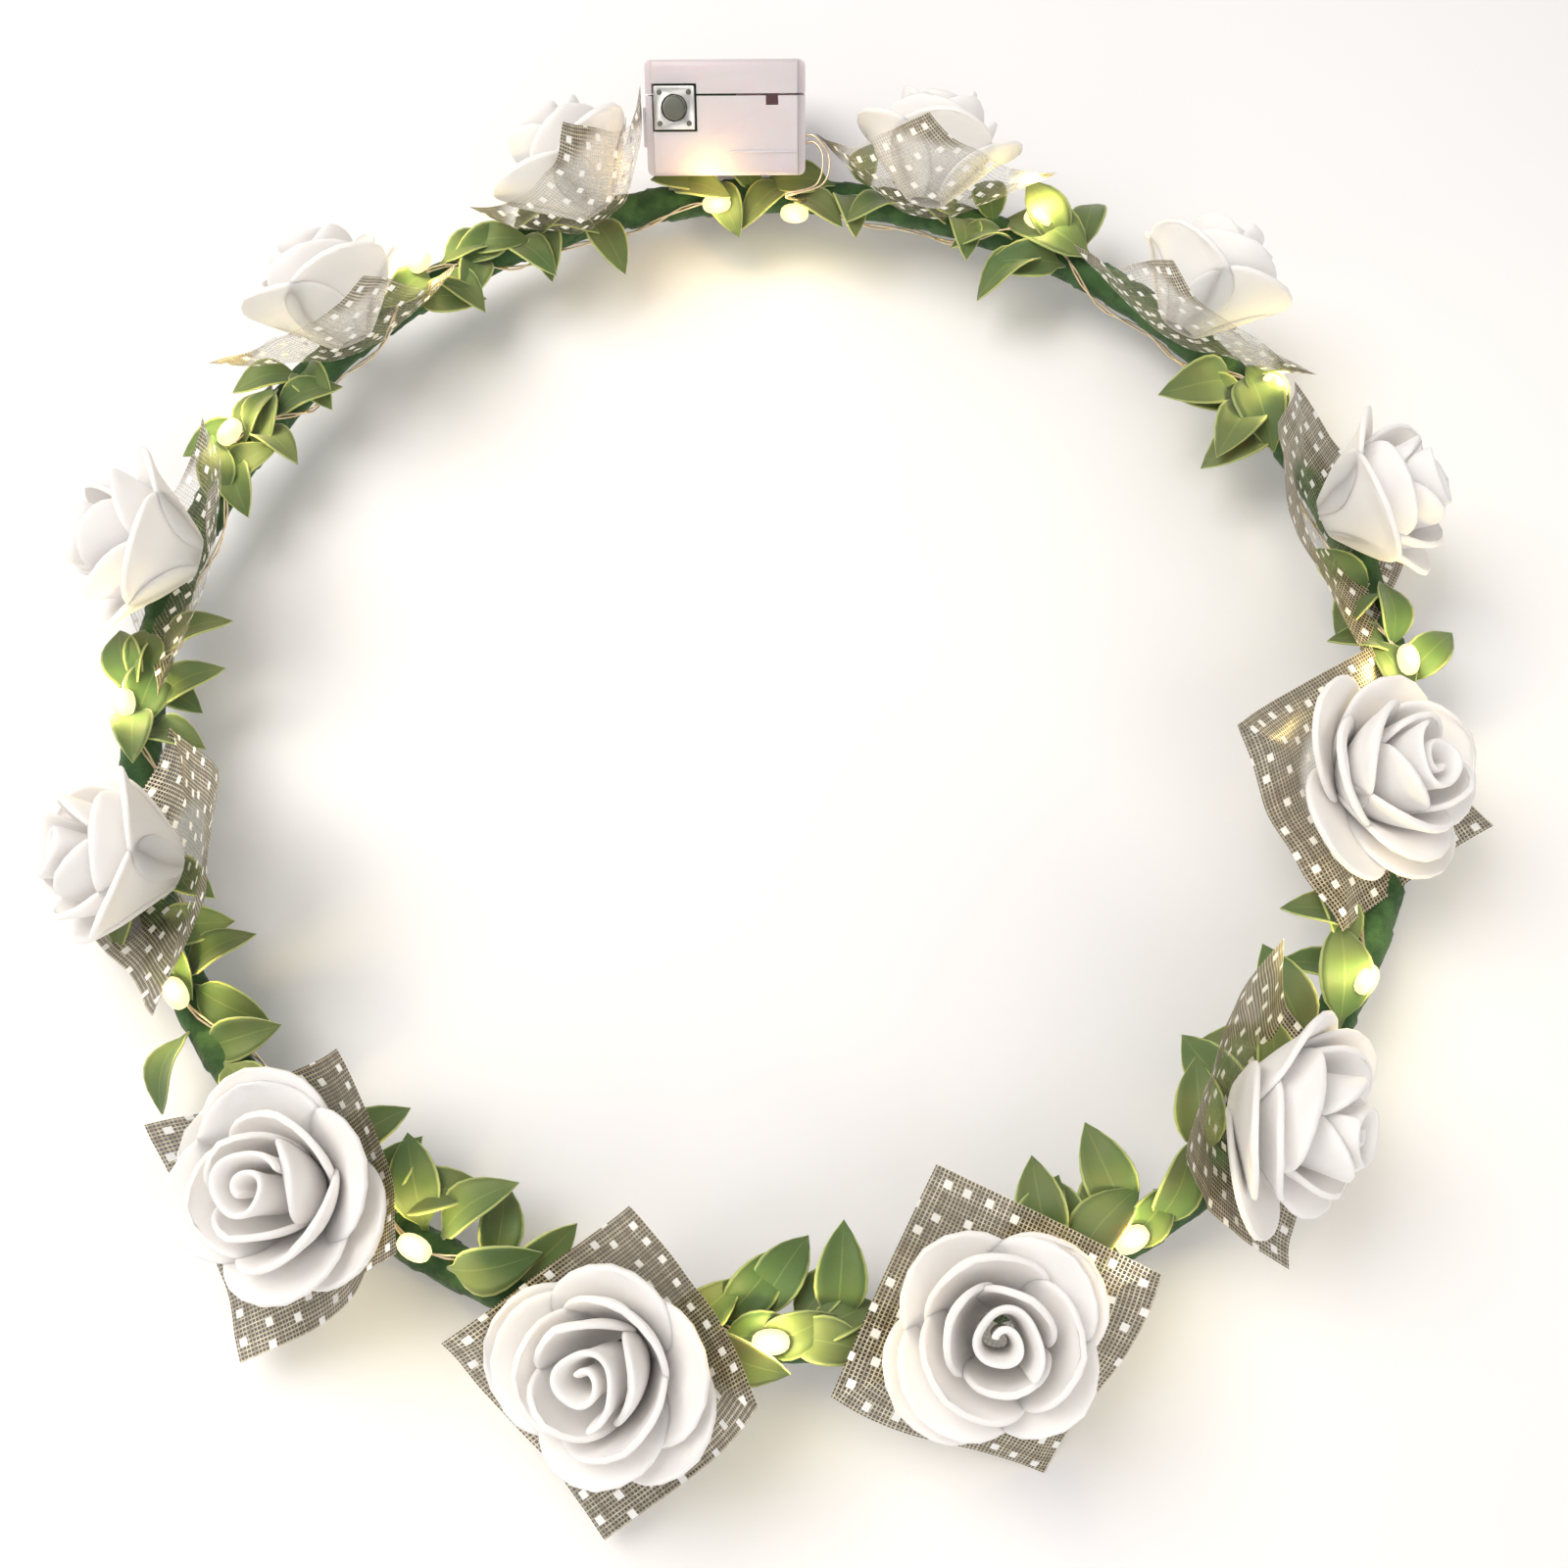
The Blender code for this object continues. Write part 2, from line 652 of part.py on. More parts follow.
def make_switch(place):
    centre = switch_centre()
    half = SWITCH_SIDE / 2
    back = SWITCH_PROUD - SWITCH_DEPTH
    body = box_piece(
        "switch_body", block((-half, -half, back), (half, half, SWITCH_PROUD)), place, "switch_metal", centre
    )
    pocket = disc(BUTTON_RADIUS + FIT_GAP, SWITCH_PROUD - BUTTON_ROOM - FIT_GAP, 2 * SWITCH_PROUD, "Z", 16)
    cut(body, "switch_pocket", pocket, place, centre)
    button_back = SWITCH_PROUD - BUTTON_ROOM + BUTTON_TRAVEL
    button = disc(BUTTON_RADIUS, button_back, SWITCH_PROUD + BUTTON_PROUD, "Z", 16)
    box_piece("switch_button", button, place, "switch_button", centre, smooth=True)
    board_front = back - FIT_GAP
    low_y = max(-BOARD_HEIGHT / 2, -centre.y + BOX_WALL + FIT_GAP)
    board = block(
        (-half, low_y, board_front - BOARD_THICKNESS),
        (-half + BOARD_WIDTH, low_y + BOARD_HEIGHT, board_front),
    )
    box_piece("circuit_board", board, place, "circuit_board", centre)


def make_cells(place):
    """Two coin cells stacked flat on a contact strip."""
    board_back = SWITCH_PROUD - SWITCH_DEPTH - FIT_GAP - BOARD_THICKNESS
    centre_z = board_back - FIT_GAP - CELL_RADIUS
    floor = BOX_WALL + FIT_GAP
    strip = block(
        (-CONTACT_WIDTH / 2, floor, centre_z - CELL_RADIUS),
        (CONTACT_WIDTH / 2, floor + CONTACT_THICKNESS, centre_z + CELL_RADIUS),
    )
    box_piece("contact_strip", strip, place, "cell_steel")
    height = floor + CONTACT_THICKNESS + FIT_GAP
    for name in ("coin_cell_lower", "coin_cell_upper"):
        cell = disc(CELL_RADIUS, height, height + CELL_THICKNESS, "Y", 32)
        box_piece(name, cell, place, "cell_steel", (0, 0, centre_z), smooth=True)
        height += CELL_THICKNESS + FIT_GAP


def main():
    clear_scene()
    make_hoop_wire()
    make_stem_wrap()
    make_light_wire()
    for k, (station, section) in enumerate(LIGHTS):
        make_light(k + 1, station, section)
    for number, (station, heading, rise, seat, aside, *tulle) in ROSES.items():
        place = rose_place(station, heading, rise, seat, aside)
        make_rose(number, place, tulle[0])
        climb = hoop_climb(place, station) if aside else 0.0
        make_tulle(number, place, climb, *tulle)
    for number, (section, *leaves) in SPRIGS.items():
        make_sprig(number, section, leaves)
    make_box()


main()
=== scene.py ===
# %% [markdown]
# # A crown of foam roses with a light string
# A florist makes this crown on a ring of wire: paper tape wraps the wire, twelve foam roses
# stand on it, each in a square of glitter tulle, and leaves fill the gaps. A string of small
# lamps runs all the way round to a battery box. Each of those pieces is modelled here over
# the fixed frame, which comes from the engineering model and is never moved.

# %% Load the fixed frame
import json
import math
import random

import bmesh
import bpy
from mathutils import Matrix, Vector, noise


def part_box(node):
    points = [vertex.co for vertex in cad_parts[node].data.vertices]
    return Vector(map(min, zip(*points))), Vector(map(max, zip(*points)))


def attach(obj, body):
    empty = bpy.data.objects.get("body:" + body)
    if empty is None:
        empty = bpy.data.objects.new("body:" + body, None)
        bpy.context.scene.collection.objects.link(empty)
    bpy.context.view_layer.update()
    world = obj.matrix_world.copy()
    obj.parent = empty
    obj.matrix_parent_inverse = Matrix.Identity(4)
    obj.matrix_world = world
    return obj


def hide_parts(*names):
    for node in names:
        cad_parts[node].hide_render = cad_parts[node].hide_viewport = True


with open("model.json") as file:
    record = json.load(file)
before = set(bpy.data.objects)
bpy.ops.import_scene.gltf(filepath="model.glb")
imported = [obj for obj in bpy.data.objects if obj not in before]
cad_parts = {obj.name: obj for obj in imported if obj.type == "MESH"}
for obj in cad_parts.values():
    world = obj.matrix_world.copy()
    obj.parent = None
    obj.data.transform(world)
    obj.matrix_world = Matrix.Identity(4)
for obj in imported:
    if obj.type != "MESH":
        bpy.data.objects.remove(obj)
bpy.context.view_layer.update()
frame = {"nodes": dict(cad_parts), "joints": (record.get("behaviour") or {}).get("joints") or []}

# %% [markdown]
# ## Places round the hoop
# Everything is placed by its station on the hoop, an angle seen from above, so three helpers
# do for the whole crown. Lengths are thought of in millimetres, as a florist does, and MM
# turns them into metres.

# %% Sizes and helpers of the hoop
MM = 0.001
TAPE_RADIUS = 2.5 * MM
wire_low, wire_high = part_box("hoop_wire")
HOOP_HEIGHT = (wire_low.z + wire_high.z) / 2
WIRE_RADIUS = (wire_high.z - wire_low.z) / 2
HOOP_RADIUS = 85 * MM


def directions(station):
    """Outward, forward along the hoop, and up, at this station."""
    turn = math.radians(station)
    outward = Vector((math.cos(turn), math.sin(turn), 0))
    forward = Vector((-math.sin(turn), math.cos(turn), 0))
    return outward, forward, Vector((0, 0, 1))


def beside_hoop(station, distance, section):
    """A point beside the wire: section 0 is outward, 90 above, 180 inward, 270 below."""
    outward, _, up = directions(station)
    turn = math.radians(section)
    centre = outward * HOOP_RADIUS + up * HOOP_HEIGHT
    return centre + distance * (math.cos(turn) * outward + math.sin(turn) * up)


def pointing(station, heading, rise):
    """A direction that turns from straight outward by heading, and rises above level."""
    outward, forward, up = directions(station)
    turn = math.radians(heading)
    lift = math.radians(rise)
    level = math.cos(turn) * outward + math.sin(turn) * forward
    return math.cos(lift) * level + math.sin(lift) * up


print(f"hoop centre line {HOOP_HEIGHT / MM:.1f} mm above the table, wire {2 * WIRE_RADIUS / MM:.1f} mm")

# %% [markdown]
# ## Camera, table and light
# The camera looks down at the crown from the front, steeply. The table is a plain pale
# plane, and one big soft lamp over it gives the roses their gentle shading. The colours are
# shown with the Standard view, so the leaves beside a lamp turn as bright as they should.

# %% Camera
scene = bpy.context.scene
CAMERA_SPOT = Vector((1.96, -100.5, 206.95)) * MM
CAMERA_AIM = Vector((1.96, -14.37, 0)) * MM
CAMERA_ROLL = math.radians(-0.4)
CAMERA_ANGLE = math.radians(50)

lens = bpy.data.cameras.new("camera")
lens.angle = CAMERA_ANGLE
lens.clip_start = 1 * MM
camera = bpy.data.objects.new("camera", lens)
scene.collection.objects.link(camera)
look = (CAMERA_AIM - CAMERA_SPOT).to_track_quat("-Z", "Y")
camera.matrix_world = (
    Matrix.Translation(CAMERA_SPOT + Vector((0, 0, HOOP_HEIGHT)))
    @ look.to_matrix().to_4x4()
    @ Matrix.Rotation(CAMERA_ROLL, 4, "Z")
)
scene.camera = camera
scene.view_settings.view_transform = "Standard"
print("camera", [round(x, 3) for x in camera.matrix_world.translation])


# %% Lamps and sky
def add_area_lamp(name, spot, size, power, colour):
    lamp = bpy.data.lights.new(name, "AREA")
    lamp.size = size
    lamp.energy = power
    lamp.color = colour
    item = bpy.data.objects.new(name, lamp)
    item.location = spot
    item.rotation_euler = (-Vector(spot)).to_track_quat("-Z", "Y").to_euler()
    scene.collection.objects.link(item)


add_area_lamp("soft_lamp", (-0.30, 0.10, 0.60), 0.45, 3.2, (1.0, 0.955, 0.90))
add_area_lamp("fill_lamp", (0.25, -0.55, 0.45), 0.60, 1.6, (1.0, 0.96, 0.92))
sky = bpy.data.worlds.new("studio")
sky.use_nodes = True
backdrop = sky.node_tree.nodes["Background"].inputs
backdrop["Color"].default_value = (1.0, 0.98, 0.965, 1)
backdrop["Strength"].default_value = 0.50
scene.world = sky

# %% [markdown]
# ## Tools for making shader nodes
# Materials are built in code from a few small helpers. An effect that several materials
# share becomes a node group, which is built once and given each material's own values.

# %% Shader helpers


def connect(tree, value, socket):
    """Links a socket to a socket, or sets a plain value on it."""
    if isinstance(value, bpy.types.NodeSocket):
        tree.links.new(value, socket)
    else:
        socket.default_value = value


def calculate(tree, operation, *values):
    node = tree.nodes.new("ShaderNodeMath")
    node.operation = operation
    for socket, value in zip(node.inputs, values):
        connect(tree, value, socket)
    return node.outputs[0]


def mixed(tree, share, first, second):
    """A colour between two colours."""
    node = tree.nodes.new("ShaderNodeMix")
    node.data_type = "RGBA"
    for place, value in ((0, share), (6, first), (7, second)):
        connect(tree, value, node.inputs[place])
    return node.outputs[2]


def scaled(tree, vector, factor):
    """A vector made longer by a factor."""
    node = tree.nodes.new("ShaderNodeVectorMath")
    node.operation = "SCALE"
    connect(tree, vector, node.inputs[0])
    connect(tree, factor, node.inputs["Scale"])
    return node.outputs[0]


def noisy(tree, vector, scale, detail=2.0):
    node = tree.nodes.new("ShaderNodeTexNoise")
    connect(tree, vector, node.inputs["Vector"])
    connect(tree, scale, node.inputs["Scale"])
    node.inputs["Detail"].default_value = detail
    return node.outputs["Fac"]


def ramped(tree, value, low, high):
    """0 below low, 1 above high, and smooth between them. low may be the greater one."""
    node = tree.nodes.new("ShaderNodeMapRange")
    node.interpolation_type = "SMOOTHSTEP"
    connect(tree, value, node.inputs["Value"])
    connect(tree, low, node.inputs["From Min"])
    connect(tree, high, node.inputs["From Max"])
    return node.outputs["Result"]


def new_group(name, inputs, outputs):
    group = bpy.data.node_groups.new(name, "ShaderNodeTree")
    for label, kind, value in inputs:
        socket = group.interface.new_socket(label, in_out="INPUT", socket_type=kind)
        if value is not None:
            socket.default_value = value
    for label, kind in outputs:
        group.interface.new_socket(label, in_out="OUTPUT", socket_type=kind)
    return group, group.nodes.new("NodeGroupInput").outputs, group.nodes.new("NodeGroupOutput").inputs


def use_group(tree, group, **values):
    """Places a group, with its inputs given by name, _ standing for a space."""
    node = tree.nodes.new("ShaderNodeGroup")
    node.node_tree = group
    for label, value in values.items():
        connect(tree, value, node.inputs[label.replace("_", " ")])
    return node.outputs


def new_material(name, roughness, metallic=0.0, **sockets):
    """A material, its tree and its Principled shader, with constants set on its sockets."""
    material = bpy.data.materials.new(name)
    material.use_nodes = True
    shader = material.node_tree.nodes["Principled BSDF"]
    shader.inputs["Roughness"].default_value = roughness
    shader.inputs["Metallic"].default_value = metallic
    for label, value in sockets.items():
        shader.inputs[label.replace("_", " ")].default_value = value
    return material, material.node_tree, shader.inputs


def place_of(tree, kind="Object"):
    return tree.nodes.new("ShaderNodeTexCoord").outputs[kind]


def bumped(tree, height, distance, strength, normal_socket):
    node = tree.nodes.new("ShaderNodeBump")
    node.inputs["Strength"].default_value = strength
    node.inputs["Distance"].default_value = distance
    tree.links.new(height, node.inputs["Height"])
    tree.links.new(node.outputs["Normal"], normal_socket)


print("shader helpers ready")

# %% [markdown]
# ### Shared effects
# Foam, paper, cloth and plastic all need the same two things: a colour that drifts a little
# from place to place, and a fine grain. One group gives both.

# %% Group: drift and grain
drift_group, given, result = new_group(
    "drift and grain",
    (
        ("Vector", "NodeSocketVector", None),
        ("Colour", "NodeSocketColor", (1, 1, 1, 1)),
        ("Other colour", "NodeSocketColor", (1, 1, 1, 1)),
        ("Drift scale", "NodeSocketFloat", 60.0),
        ("Grain scale", "NodeSocketFloat", 2500.0),
    ),
    (("Colour", "NodeSocketColor"), ("Grain", "NodeSocketFloat"), ("Drift", "NodeSocketFloat")),
)
drift = ramped(drift_group, noisy(drift_group, given["Vector"], given["Drift scale"]), 0.35, 0.65)
grain = noisy(drift_group, given["Vector"], given["Grain scale"], 3.0)
drift_group.links.new(mixed(drift_group, drift, given["Colour"], given["Other colour"]), result["Colour"])
drift_group.links.new(grain, result["Grain"])
drift_group.links.new(drift, result["Drift"])


def drifting(tree, colour, other, drift_scale, grain_scale):
    """The group, placed in a material with two colours and two scales of its own."""
    return use_group(
        tree, drift_group, Vector=place_of(tree), Colour=(*colour, 1), Other_colour=(*other, 1),
        Drift_scale=drift_scale, Grain_scale=grain_scale,
    )


def grained(name, roughness, colours, scales, depth, strength, **sockets):
    """A material that drifts between two colours, its grain this deep and this strong."""
    material, tree, socket = new_material(name, roughness, **sockets)
    parts = drifting(tree, *colours, *scales)
    tree.links.new(parts["Colour"], socket["Base Color"])
    bumped(tree, parts["Grain"], depth, strength, socket["Normal"])
    return material


print("group", drift_group.name)

# %% [markdown]
# Tulle is a net of metallic threads with square glitter dots. Holes that small are best made
# in the shader: the cloth's own flat coordinates, in millimetres, say where each thread and
# dot is, so the pattern follows every fold.

# %% Group: threads of a net
net_group, given, result = new_group(
    "net threads",
    (
        ("Across", "NodeSocketFloat", 0.0),
        ("Pitch", "NodeSocketFloat", 0.55),
        ("Thread width", "NodeSocketFloat", 0.2),
    ),
    (("Thread", "NodeSocketFloat"), ("Shine", "NodeSocketFloat")),
)
count = calculate(net_group, "DIVIDE", given["Across"], given["Pitch"])
off_middle = calculate(net_group, "SUBTRACT", calculate(net_group, "FRACT", count), 0.5)
offset = calculate(net_group, "ABSOLUTE", off_middle)
filled = calculate(net_group, "DIVIDE", given["Thread width"], given["Pitch"])
half = calculate(net_group, "DIVIDE", filled, 2.0)
net_group.links.new(calculate(net_group, "LESS_THAN", offset, half), result["Thread"])
# A random value for each thread, used as a painted glint: it mixes the thread's colour between dull bronze
# and bright gold.
chance = net_group.nodes.new("ShaderNodeTexWhiteNoise")
chance.noise_dimensions = "1D"
net_group.links.new(calculate(net_group, "FLOOR", count), chance.inputs["W"])
net_group.links.new(chance.outputs["Value"], result["Shine"])
print("group", net_group.name)

# %% Group: scattered square dots
dot_group, given, result = new_group(
    "square dots",
    (
        ("Vector", "NodeSocketVector", None),
        ("Spacing", "NodeSocketFloat", 3.4),
        ("Dot size", "NodeSocketFloat", 1.05),
    ),
    (("Dot", "NodeSocketFloat"),),
)
axes = dot_group.nodes.new("ShaderNodeSeparateXYZ")
dot_group.links.new(given["Vector"], axes.inputs[0])
rows = calculate(dot_group, "DIVIDE", axes.outputs["Y"], given["Spacing"])
row = calculate(dot_group, "FLOOR", rows)
shift = calculate(dot_group, "MULTIPLY", calculate(dot_group, "FLOORED_MODULO", row, 2.0), 0.5)
across = calculate(dot_group, "DIVIDE", axes.outputs["X"], given["Spacing"])
columns = calculate(dot_group, "ADD", across, shift)
cell = dot_group.nodes.new("ShaderNodeCombineXYZ")
dot_group.links.new(calculate(dot_group, "FLOOR", columns), cell.inputs["X"])
dot_group.links.new(row, cell.inputs["Y"])
lot = dot_group.nodes.new("ShaderNodeTexWhiteNoise")
lot.noise_dimensions = "3D"
dot_group.links.new(cell.outputs[0], lot.inputs["Vector"])
moved = dot_group.nodes.new("ShaderNodeSeparateColor")
dot_group.links.new(lot.outputs["Color"], moved.inputs[0])
DOT_JITTER = 0.42
DOTS_MISSING = 0.1
inside = []
for along, jitter in ((columns, moved.outputs["Red"]), (rows, moved.outputs["Green"])):
    spread = calculate(dot_group, "MULTIPLY", calculate(dot_group, "SUBTRACT", jitter, 0.5), DOT_JITTER)
    off_middle = calculate(dot_group, "SUBTRACT", calculate(dot_group, "FRACT", along), 0.5)
    off_dot = calculate(dot_group, "ABSOLUTE", calculate(dot_group, "ADD", off_middle, spread))
    away = calculate(dot_group, "MULTIPLY", off_dot, given["Spacing"])
    reach = calculate(dot_group, "MULTIPLY", given["Dot size"], 0.5)
    inside.append(calculate(dot_group, "LESS_THAN", away, reach))
there = calculate(dot_group, "GREATER_THAN", moved.outputs["Blue"], DOTS_MISSING)
dot = calculate(dot_group, "MULTIPLY", calculate(dot_group, "MULTIPLY", *inside), there)
dot_group.links.new(dot, result["Dot"])
print("group", dot_group.name)

# %% [markdown]
# ## The materials
# Each finish is one material. Foam lets light sink in, so petals near a lamp glow; leaves
# are satin with a paler cut edge; the tape is crinkled paper; the box is frosted plastic.

# %% Foam
FOAM_WHITE = (0.95, 0.925, 0.90)
FOAM_CREAM = (0.93, 0.90, 0.88)
FOAM_SPREAD = (1.0, 0.86, 0.74)
foam = grained(
    "rose_foam", 0.85, (FOAM_WHITE, FOAM_CREAM), (90.0, 1800.0), 0.08 * MM, 0.35,
    Subsurface_Weight=0.5, Subsurface_Scale=3 * MM, Subsurface_Radius=FOAM_SPREAD, Sheen_Weight=0.1,
)
print("material", foam.name)

# %% Leaves
LEAF_GREEN = (0.070, 0.140, 0.030)
LEAF_OLIVE = (0.130, 0.180, 0.050)
LEAF_RIM = (0.42, 0.50, 0.16, 1)
# Shares of a leaf's width, out from its middle, where the pale rim and the rib begin and end.
RIM_SPAN = (0.44, 0.49)
RIB_SPAN = (0.030, 0.012)
RIB_STRENGTH = 0.15
leaf, tree, socket = new_material(
    "leaf_green", 0.6, Subsurface_Weight=0.12, Subsurface_Scale=1.5 * MM, Sheen_Weight=0.3
)
flat = tree.nodes.new("ShaderNodeSeparateXYZ")
tree.links.new(place_of(tree, "UV"), flat.inputs[0])
parts = drifting(tree, LEAF_GREEN, LEAF_OLIVE, 110.0, 3000.0)
sideways = calculate(tree, "ABSOLUTE", calculate(tree, "SUBTRACT", flat.outputs["X"], 0.5))
rim = ramped(tree, sideways, *RIM_SPAN)
rib = calculate(tree, "MULTIPLY", ramped(tree, sideways, *RIB_SPAN), RIB_STRENGTH)
paler = calculate(tree, "MAXIMUM", rim, rib)
tree.links.new(mixed(tree, paler, parts["Colour"], LEAF_RIM), socket["Base Color"])
relief = calculate(tree, "ADD", calculate(tree, "MULTIPLY", parts["Grain"], 0.25), rib)
bumped(tree, relief, 0.15 * MM, 0.6, socket["Normal"])
print("material", leaf.name)

# %% Tulle
NET_SIDE_MM = 30.0
# Painted shadow: past the flower the brown film and the threads grow denser, so the net shows dark there, as
# the table's shade seen through it.
SHADOW_FILM_ALPHA = 0.86
FILM_CLEAR = 0.06
SHADOW_THREAD_ALPHA = 0.95
THREAD_CLEAR = 0.38
THREAD_METAL = 0.6
FADE_MM = 3.0
SHADOW_FILM_BROWN = (0.035, 0.028, 0.022, 1)
# The threads are bronze and gold lurex; the dull bronze is darkened with painted shade, and the mix toward
# gold is a painted glint.
SHADED_BRONZE_THREAD = (0.34, 0.28, 0.19, 1)
GOLD_GLINT_THREAD = (0.85, 0.78, 0.60, 1)
GLITTER_WHITE = (0.95, 0.95, 0.93, 1)


def net_material(name, clear_to):
    """Tulle that is clear over the flower, up to clear_to mm from its middle, and darker past it, where a
    denser brown film and denser threads paint the table's shadow seen through the net.
    """
    material, tree, socket = new_material(name, 0.40)
    in_mm = scaled(tree, place_of(tree, "UV"), NET_SIDE_MM)
    flat = tree.nodes.new("ShaderNodeSeparateXYZ")
    tree.links.new(in_mm, flat.inputs[0])
    away = tree.nodes.new("ShaderNodeVectorMath")
    away.operation = "DISTANCE"
    tree.links.new(in_mm, away.inputs[0])
    away.inputs[1].default_value = (NET_SIDE_MM / 2, NET_SIDE_MM / 2, 0)
    # Painted shadow of the table under the net: 0 over the flower, 1 past clear_to and the fade.
    painted_shadow = ramped(tree, away.outputs["Value"], clear_to, clear_to + FADE_MM)
    warp = use_group(tree, net_group, Across=flat.outputs["X"], Pitch=0.52, Thread_width=0.18)
    weft = use_group(tree, net_group, Across=flat.outputs["Y"], Pitch=0.48, Thread_width=0.11)
    dots = use_group(tree, dot_group, Vector=in_mm, Spacing=3.3, Dot_size=1.0)
    thread = calculate(tree, "MAXIMUM", warp["Thread"], weft["Thread"])
    # Painted glint: each thread's random value mixes it from dull bronze to gold.
    painted_glint = calculate(tree, "MULTIPLY", calculate(tree, "ADD", warp["Shine"], weft["Shine"]), 0.5)
    film = mixed(tree, thread, SHADOW_FILM_BROWN, mixed(tree, painted_glint, SHADED_BRONZE_THREAD, GOLD_GLINT_THREAD))
    tree.links.new(mixed(tree, dots["Dot"], film, GLITTER_WHITE), socket["Base Color"])
    bare = calculate(tree, "SUBTRACT", 1.0, dots["Dot"])
    bare_thread = calculate(tree, "MULTIPLY", thread, bare)
    tree.links.new(calculate(tree, "MULTIPLY", bare_thread, THREAD_METAL), socket["Metallic"])
    film_alpha = calculate(tree, "MULTIPLY_ADD", painted_shadow, SHADOW_FILM_ALPHA - FILM_CLEAR, FILM_CLEAR)
    thread_alpha = calculate(tree, "MULTIPLY_ADD", painted_shadow, SHADOW_THREAD_ALPHA - THREAD_CLEAR, THREAD_CLEAR)
    solid = calculate(tree, "MAXIMUM", calculate(tree, "MULTIPLY", thread, thread_alpha), dots["Dot"])
    tree.links.new(calculate(tree, "MAXIMUM", solid, film_alpha), socket["Alpha"])
    return material


tulle_open = net_material("tulle_open", 7.0)
tulle_wrapped = net_material("tulle_wrapped", 14.5)
print("materials", tulle_open.name, tulle_wrapped.name)

# %% Tape, wires and metal
TAPE_GREEN = (0.016, 0.058, 0.014)
TAPE_WORN = (0.045, 0.115, 0.032)
tape = grained(
    "floral_tape", 0.85, (TAPE_GREEN, TAPE_WORN), (260.0, 800.0), 0.6 * MM, 0.9, Sheen_Weight=0.1
)
METAL_DRIFT = 400.0
SCRATCHES = 0.2


def metal(name, colour, worn, roughness, grain_scale):
    """Bare metal, which the grain makes rougher in some spots than in others."""
    material, tree, socket = new_material(name, roughness, 1.0)
    parts = drifting(tree, colour, worn, METAL_DRIFT, grain_scale)
    tree.links.new(parts["Colour"], socket["Base Color"])
    uneven = calculate(tree, "MULTIPLY", parts["Grain"], SCRATCHES)
    tree.links.new(calculate(tree, "ADD", uneven, roughness - SCRATCHES / 2), socket["Roughness"])
    return material


copper = metal("lamp_wire", (0.86, 0.72, 0.52), (0.80, 0.62, 0.40), 0.30, 900.0)
steel = metal("hoop_steel", (0.45, 0.44, 0.42), (0.38, 0.36, 0.34), 0.40, 1500.0)
pressed = metal("switch_metal", (0.72, 0.72, 0.70), (0.60, 0.60, 0.57), 0.32, 2500.0)
nickel = metal("cell_steel", (0.80, 0.80, 0.80), (0.72, 0.72, 0.71), 0.25, 2000.0)
print("materials", tape.name, copper.name, steel.name, pressed.name, nickel.name)

# %% Plastic, resin and boards


def plastic(name, colour, other, roughness, depth, **sockets):
    return grained(name, roughness, (colour, other), (150.0, 2600.0), depth, 0.4, **sockets)


frosted = plastic(
    "frosted_plastic", (0.87, 0.78, 0.81), (0.84, 0.75, 0.78), 0.42, 0.05 * MM,
    Transmission_Weight=0.25, Subsurface_Weight=0.3, Subsurface_Scale=3 * MM,
)
button_rubber = plastic("switch_button", (0.10, 0.11, 0.09), (0.14, 0.15, 0.12), 0.5, 0.03 * MM)
board_mask = plastic("circuit_board", (0.05, 0.16, 0.06), (0.07, 0.20, 0.08), 0.45, 0.04 * MM)

resin, tree, socket = new_material("lamp_resin", 0.15, IOR=1.5, Emission_Strength=1.25)
parts = drifting(tree, (1.0, 0.82, 0.40), (1.0, 0.88, 0.52), 500.0, 2000.0)
socket["Base Color"].default_value = (0.25, 0.19, 0.08, 1)
tree.links.new(parts["Colour"], socket["Emission Color"])
print("materials", frosted.name, button_rubber.name, board_mask.name, resin.name)

# %% [markdown]
# ## Finishing a piece
# Every new piece goes the same way: a mesh in world coordinates, one material, smooth
# shading, the body it rides on, and the frame's nodes that it stands for.

# %% Piece helpers


def add_piece(name, mesh, material, nodes=(), body="crown"):
    item = bpy.data.objects.new(name, mesh)
    scene.collection.objects.link(item)
    mesh.materials.clear()
    mesh.materials.append(material)
    mesh.shade_smooth()
    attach(item, body)
    if nodes:
        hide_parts(*nodes)
    return item


def mesh_from(name, shape, merge=0.0):
    if merge:
        bmesh.ops.remove_doubles(shape, verts=shape.verts, dist=merge)
    shape.normal_update()
    bmesh.ops.recalc_face_normals(shape, faces=shape.faces)
    mesh = bpy.data.meshes.new(name)
    shape.to_mesh(mesh)
    shape.free()
    return mesh


def join_rings(shape, rings):
    """Closes a row of rings into a tube with flat ends."""
    for first, second in zip(rings, rings[1:]):
        for k in range(len(first)):
            after = (k + 1) % len(first)
            shape.faces.new((first[k], first[after], second[after], second[k]))
    shape.faces.new(rings[0][::-1])
    shape.faces.new(rings[-1])


def sweep(shape, points, radius, sides):
    """A closed tube along a path of points."""
    rings = []
    side = None
    for k, point in enumerate(points):
        ahead = (points[min(k + 1, len(points) - 1)] - points[max(k - 1, 0)]).normalized()
        side = side or ahead.orthogonal()
        side = (side - side.dot(ahead) * ahead).normalized()
        other = ahead.cross(side)
        ring = []
        for j in range(sides):
            turn = 2 * math.pi * j / sides
            ring.append(shape.verts.new(point + radius * (math.cos(turn) * side + math.sin(turn) * other)))
        rings.append(ring)
    join_rings(shape, rings)


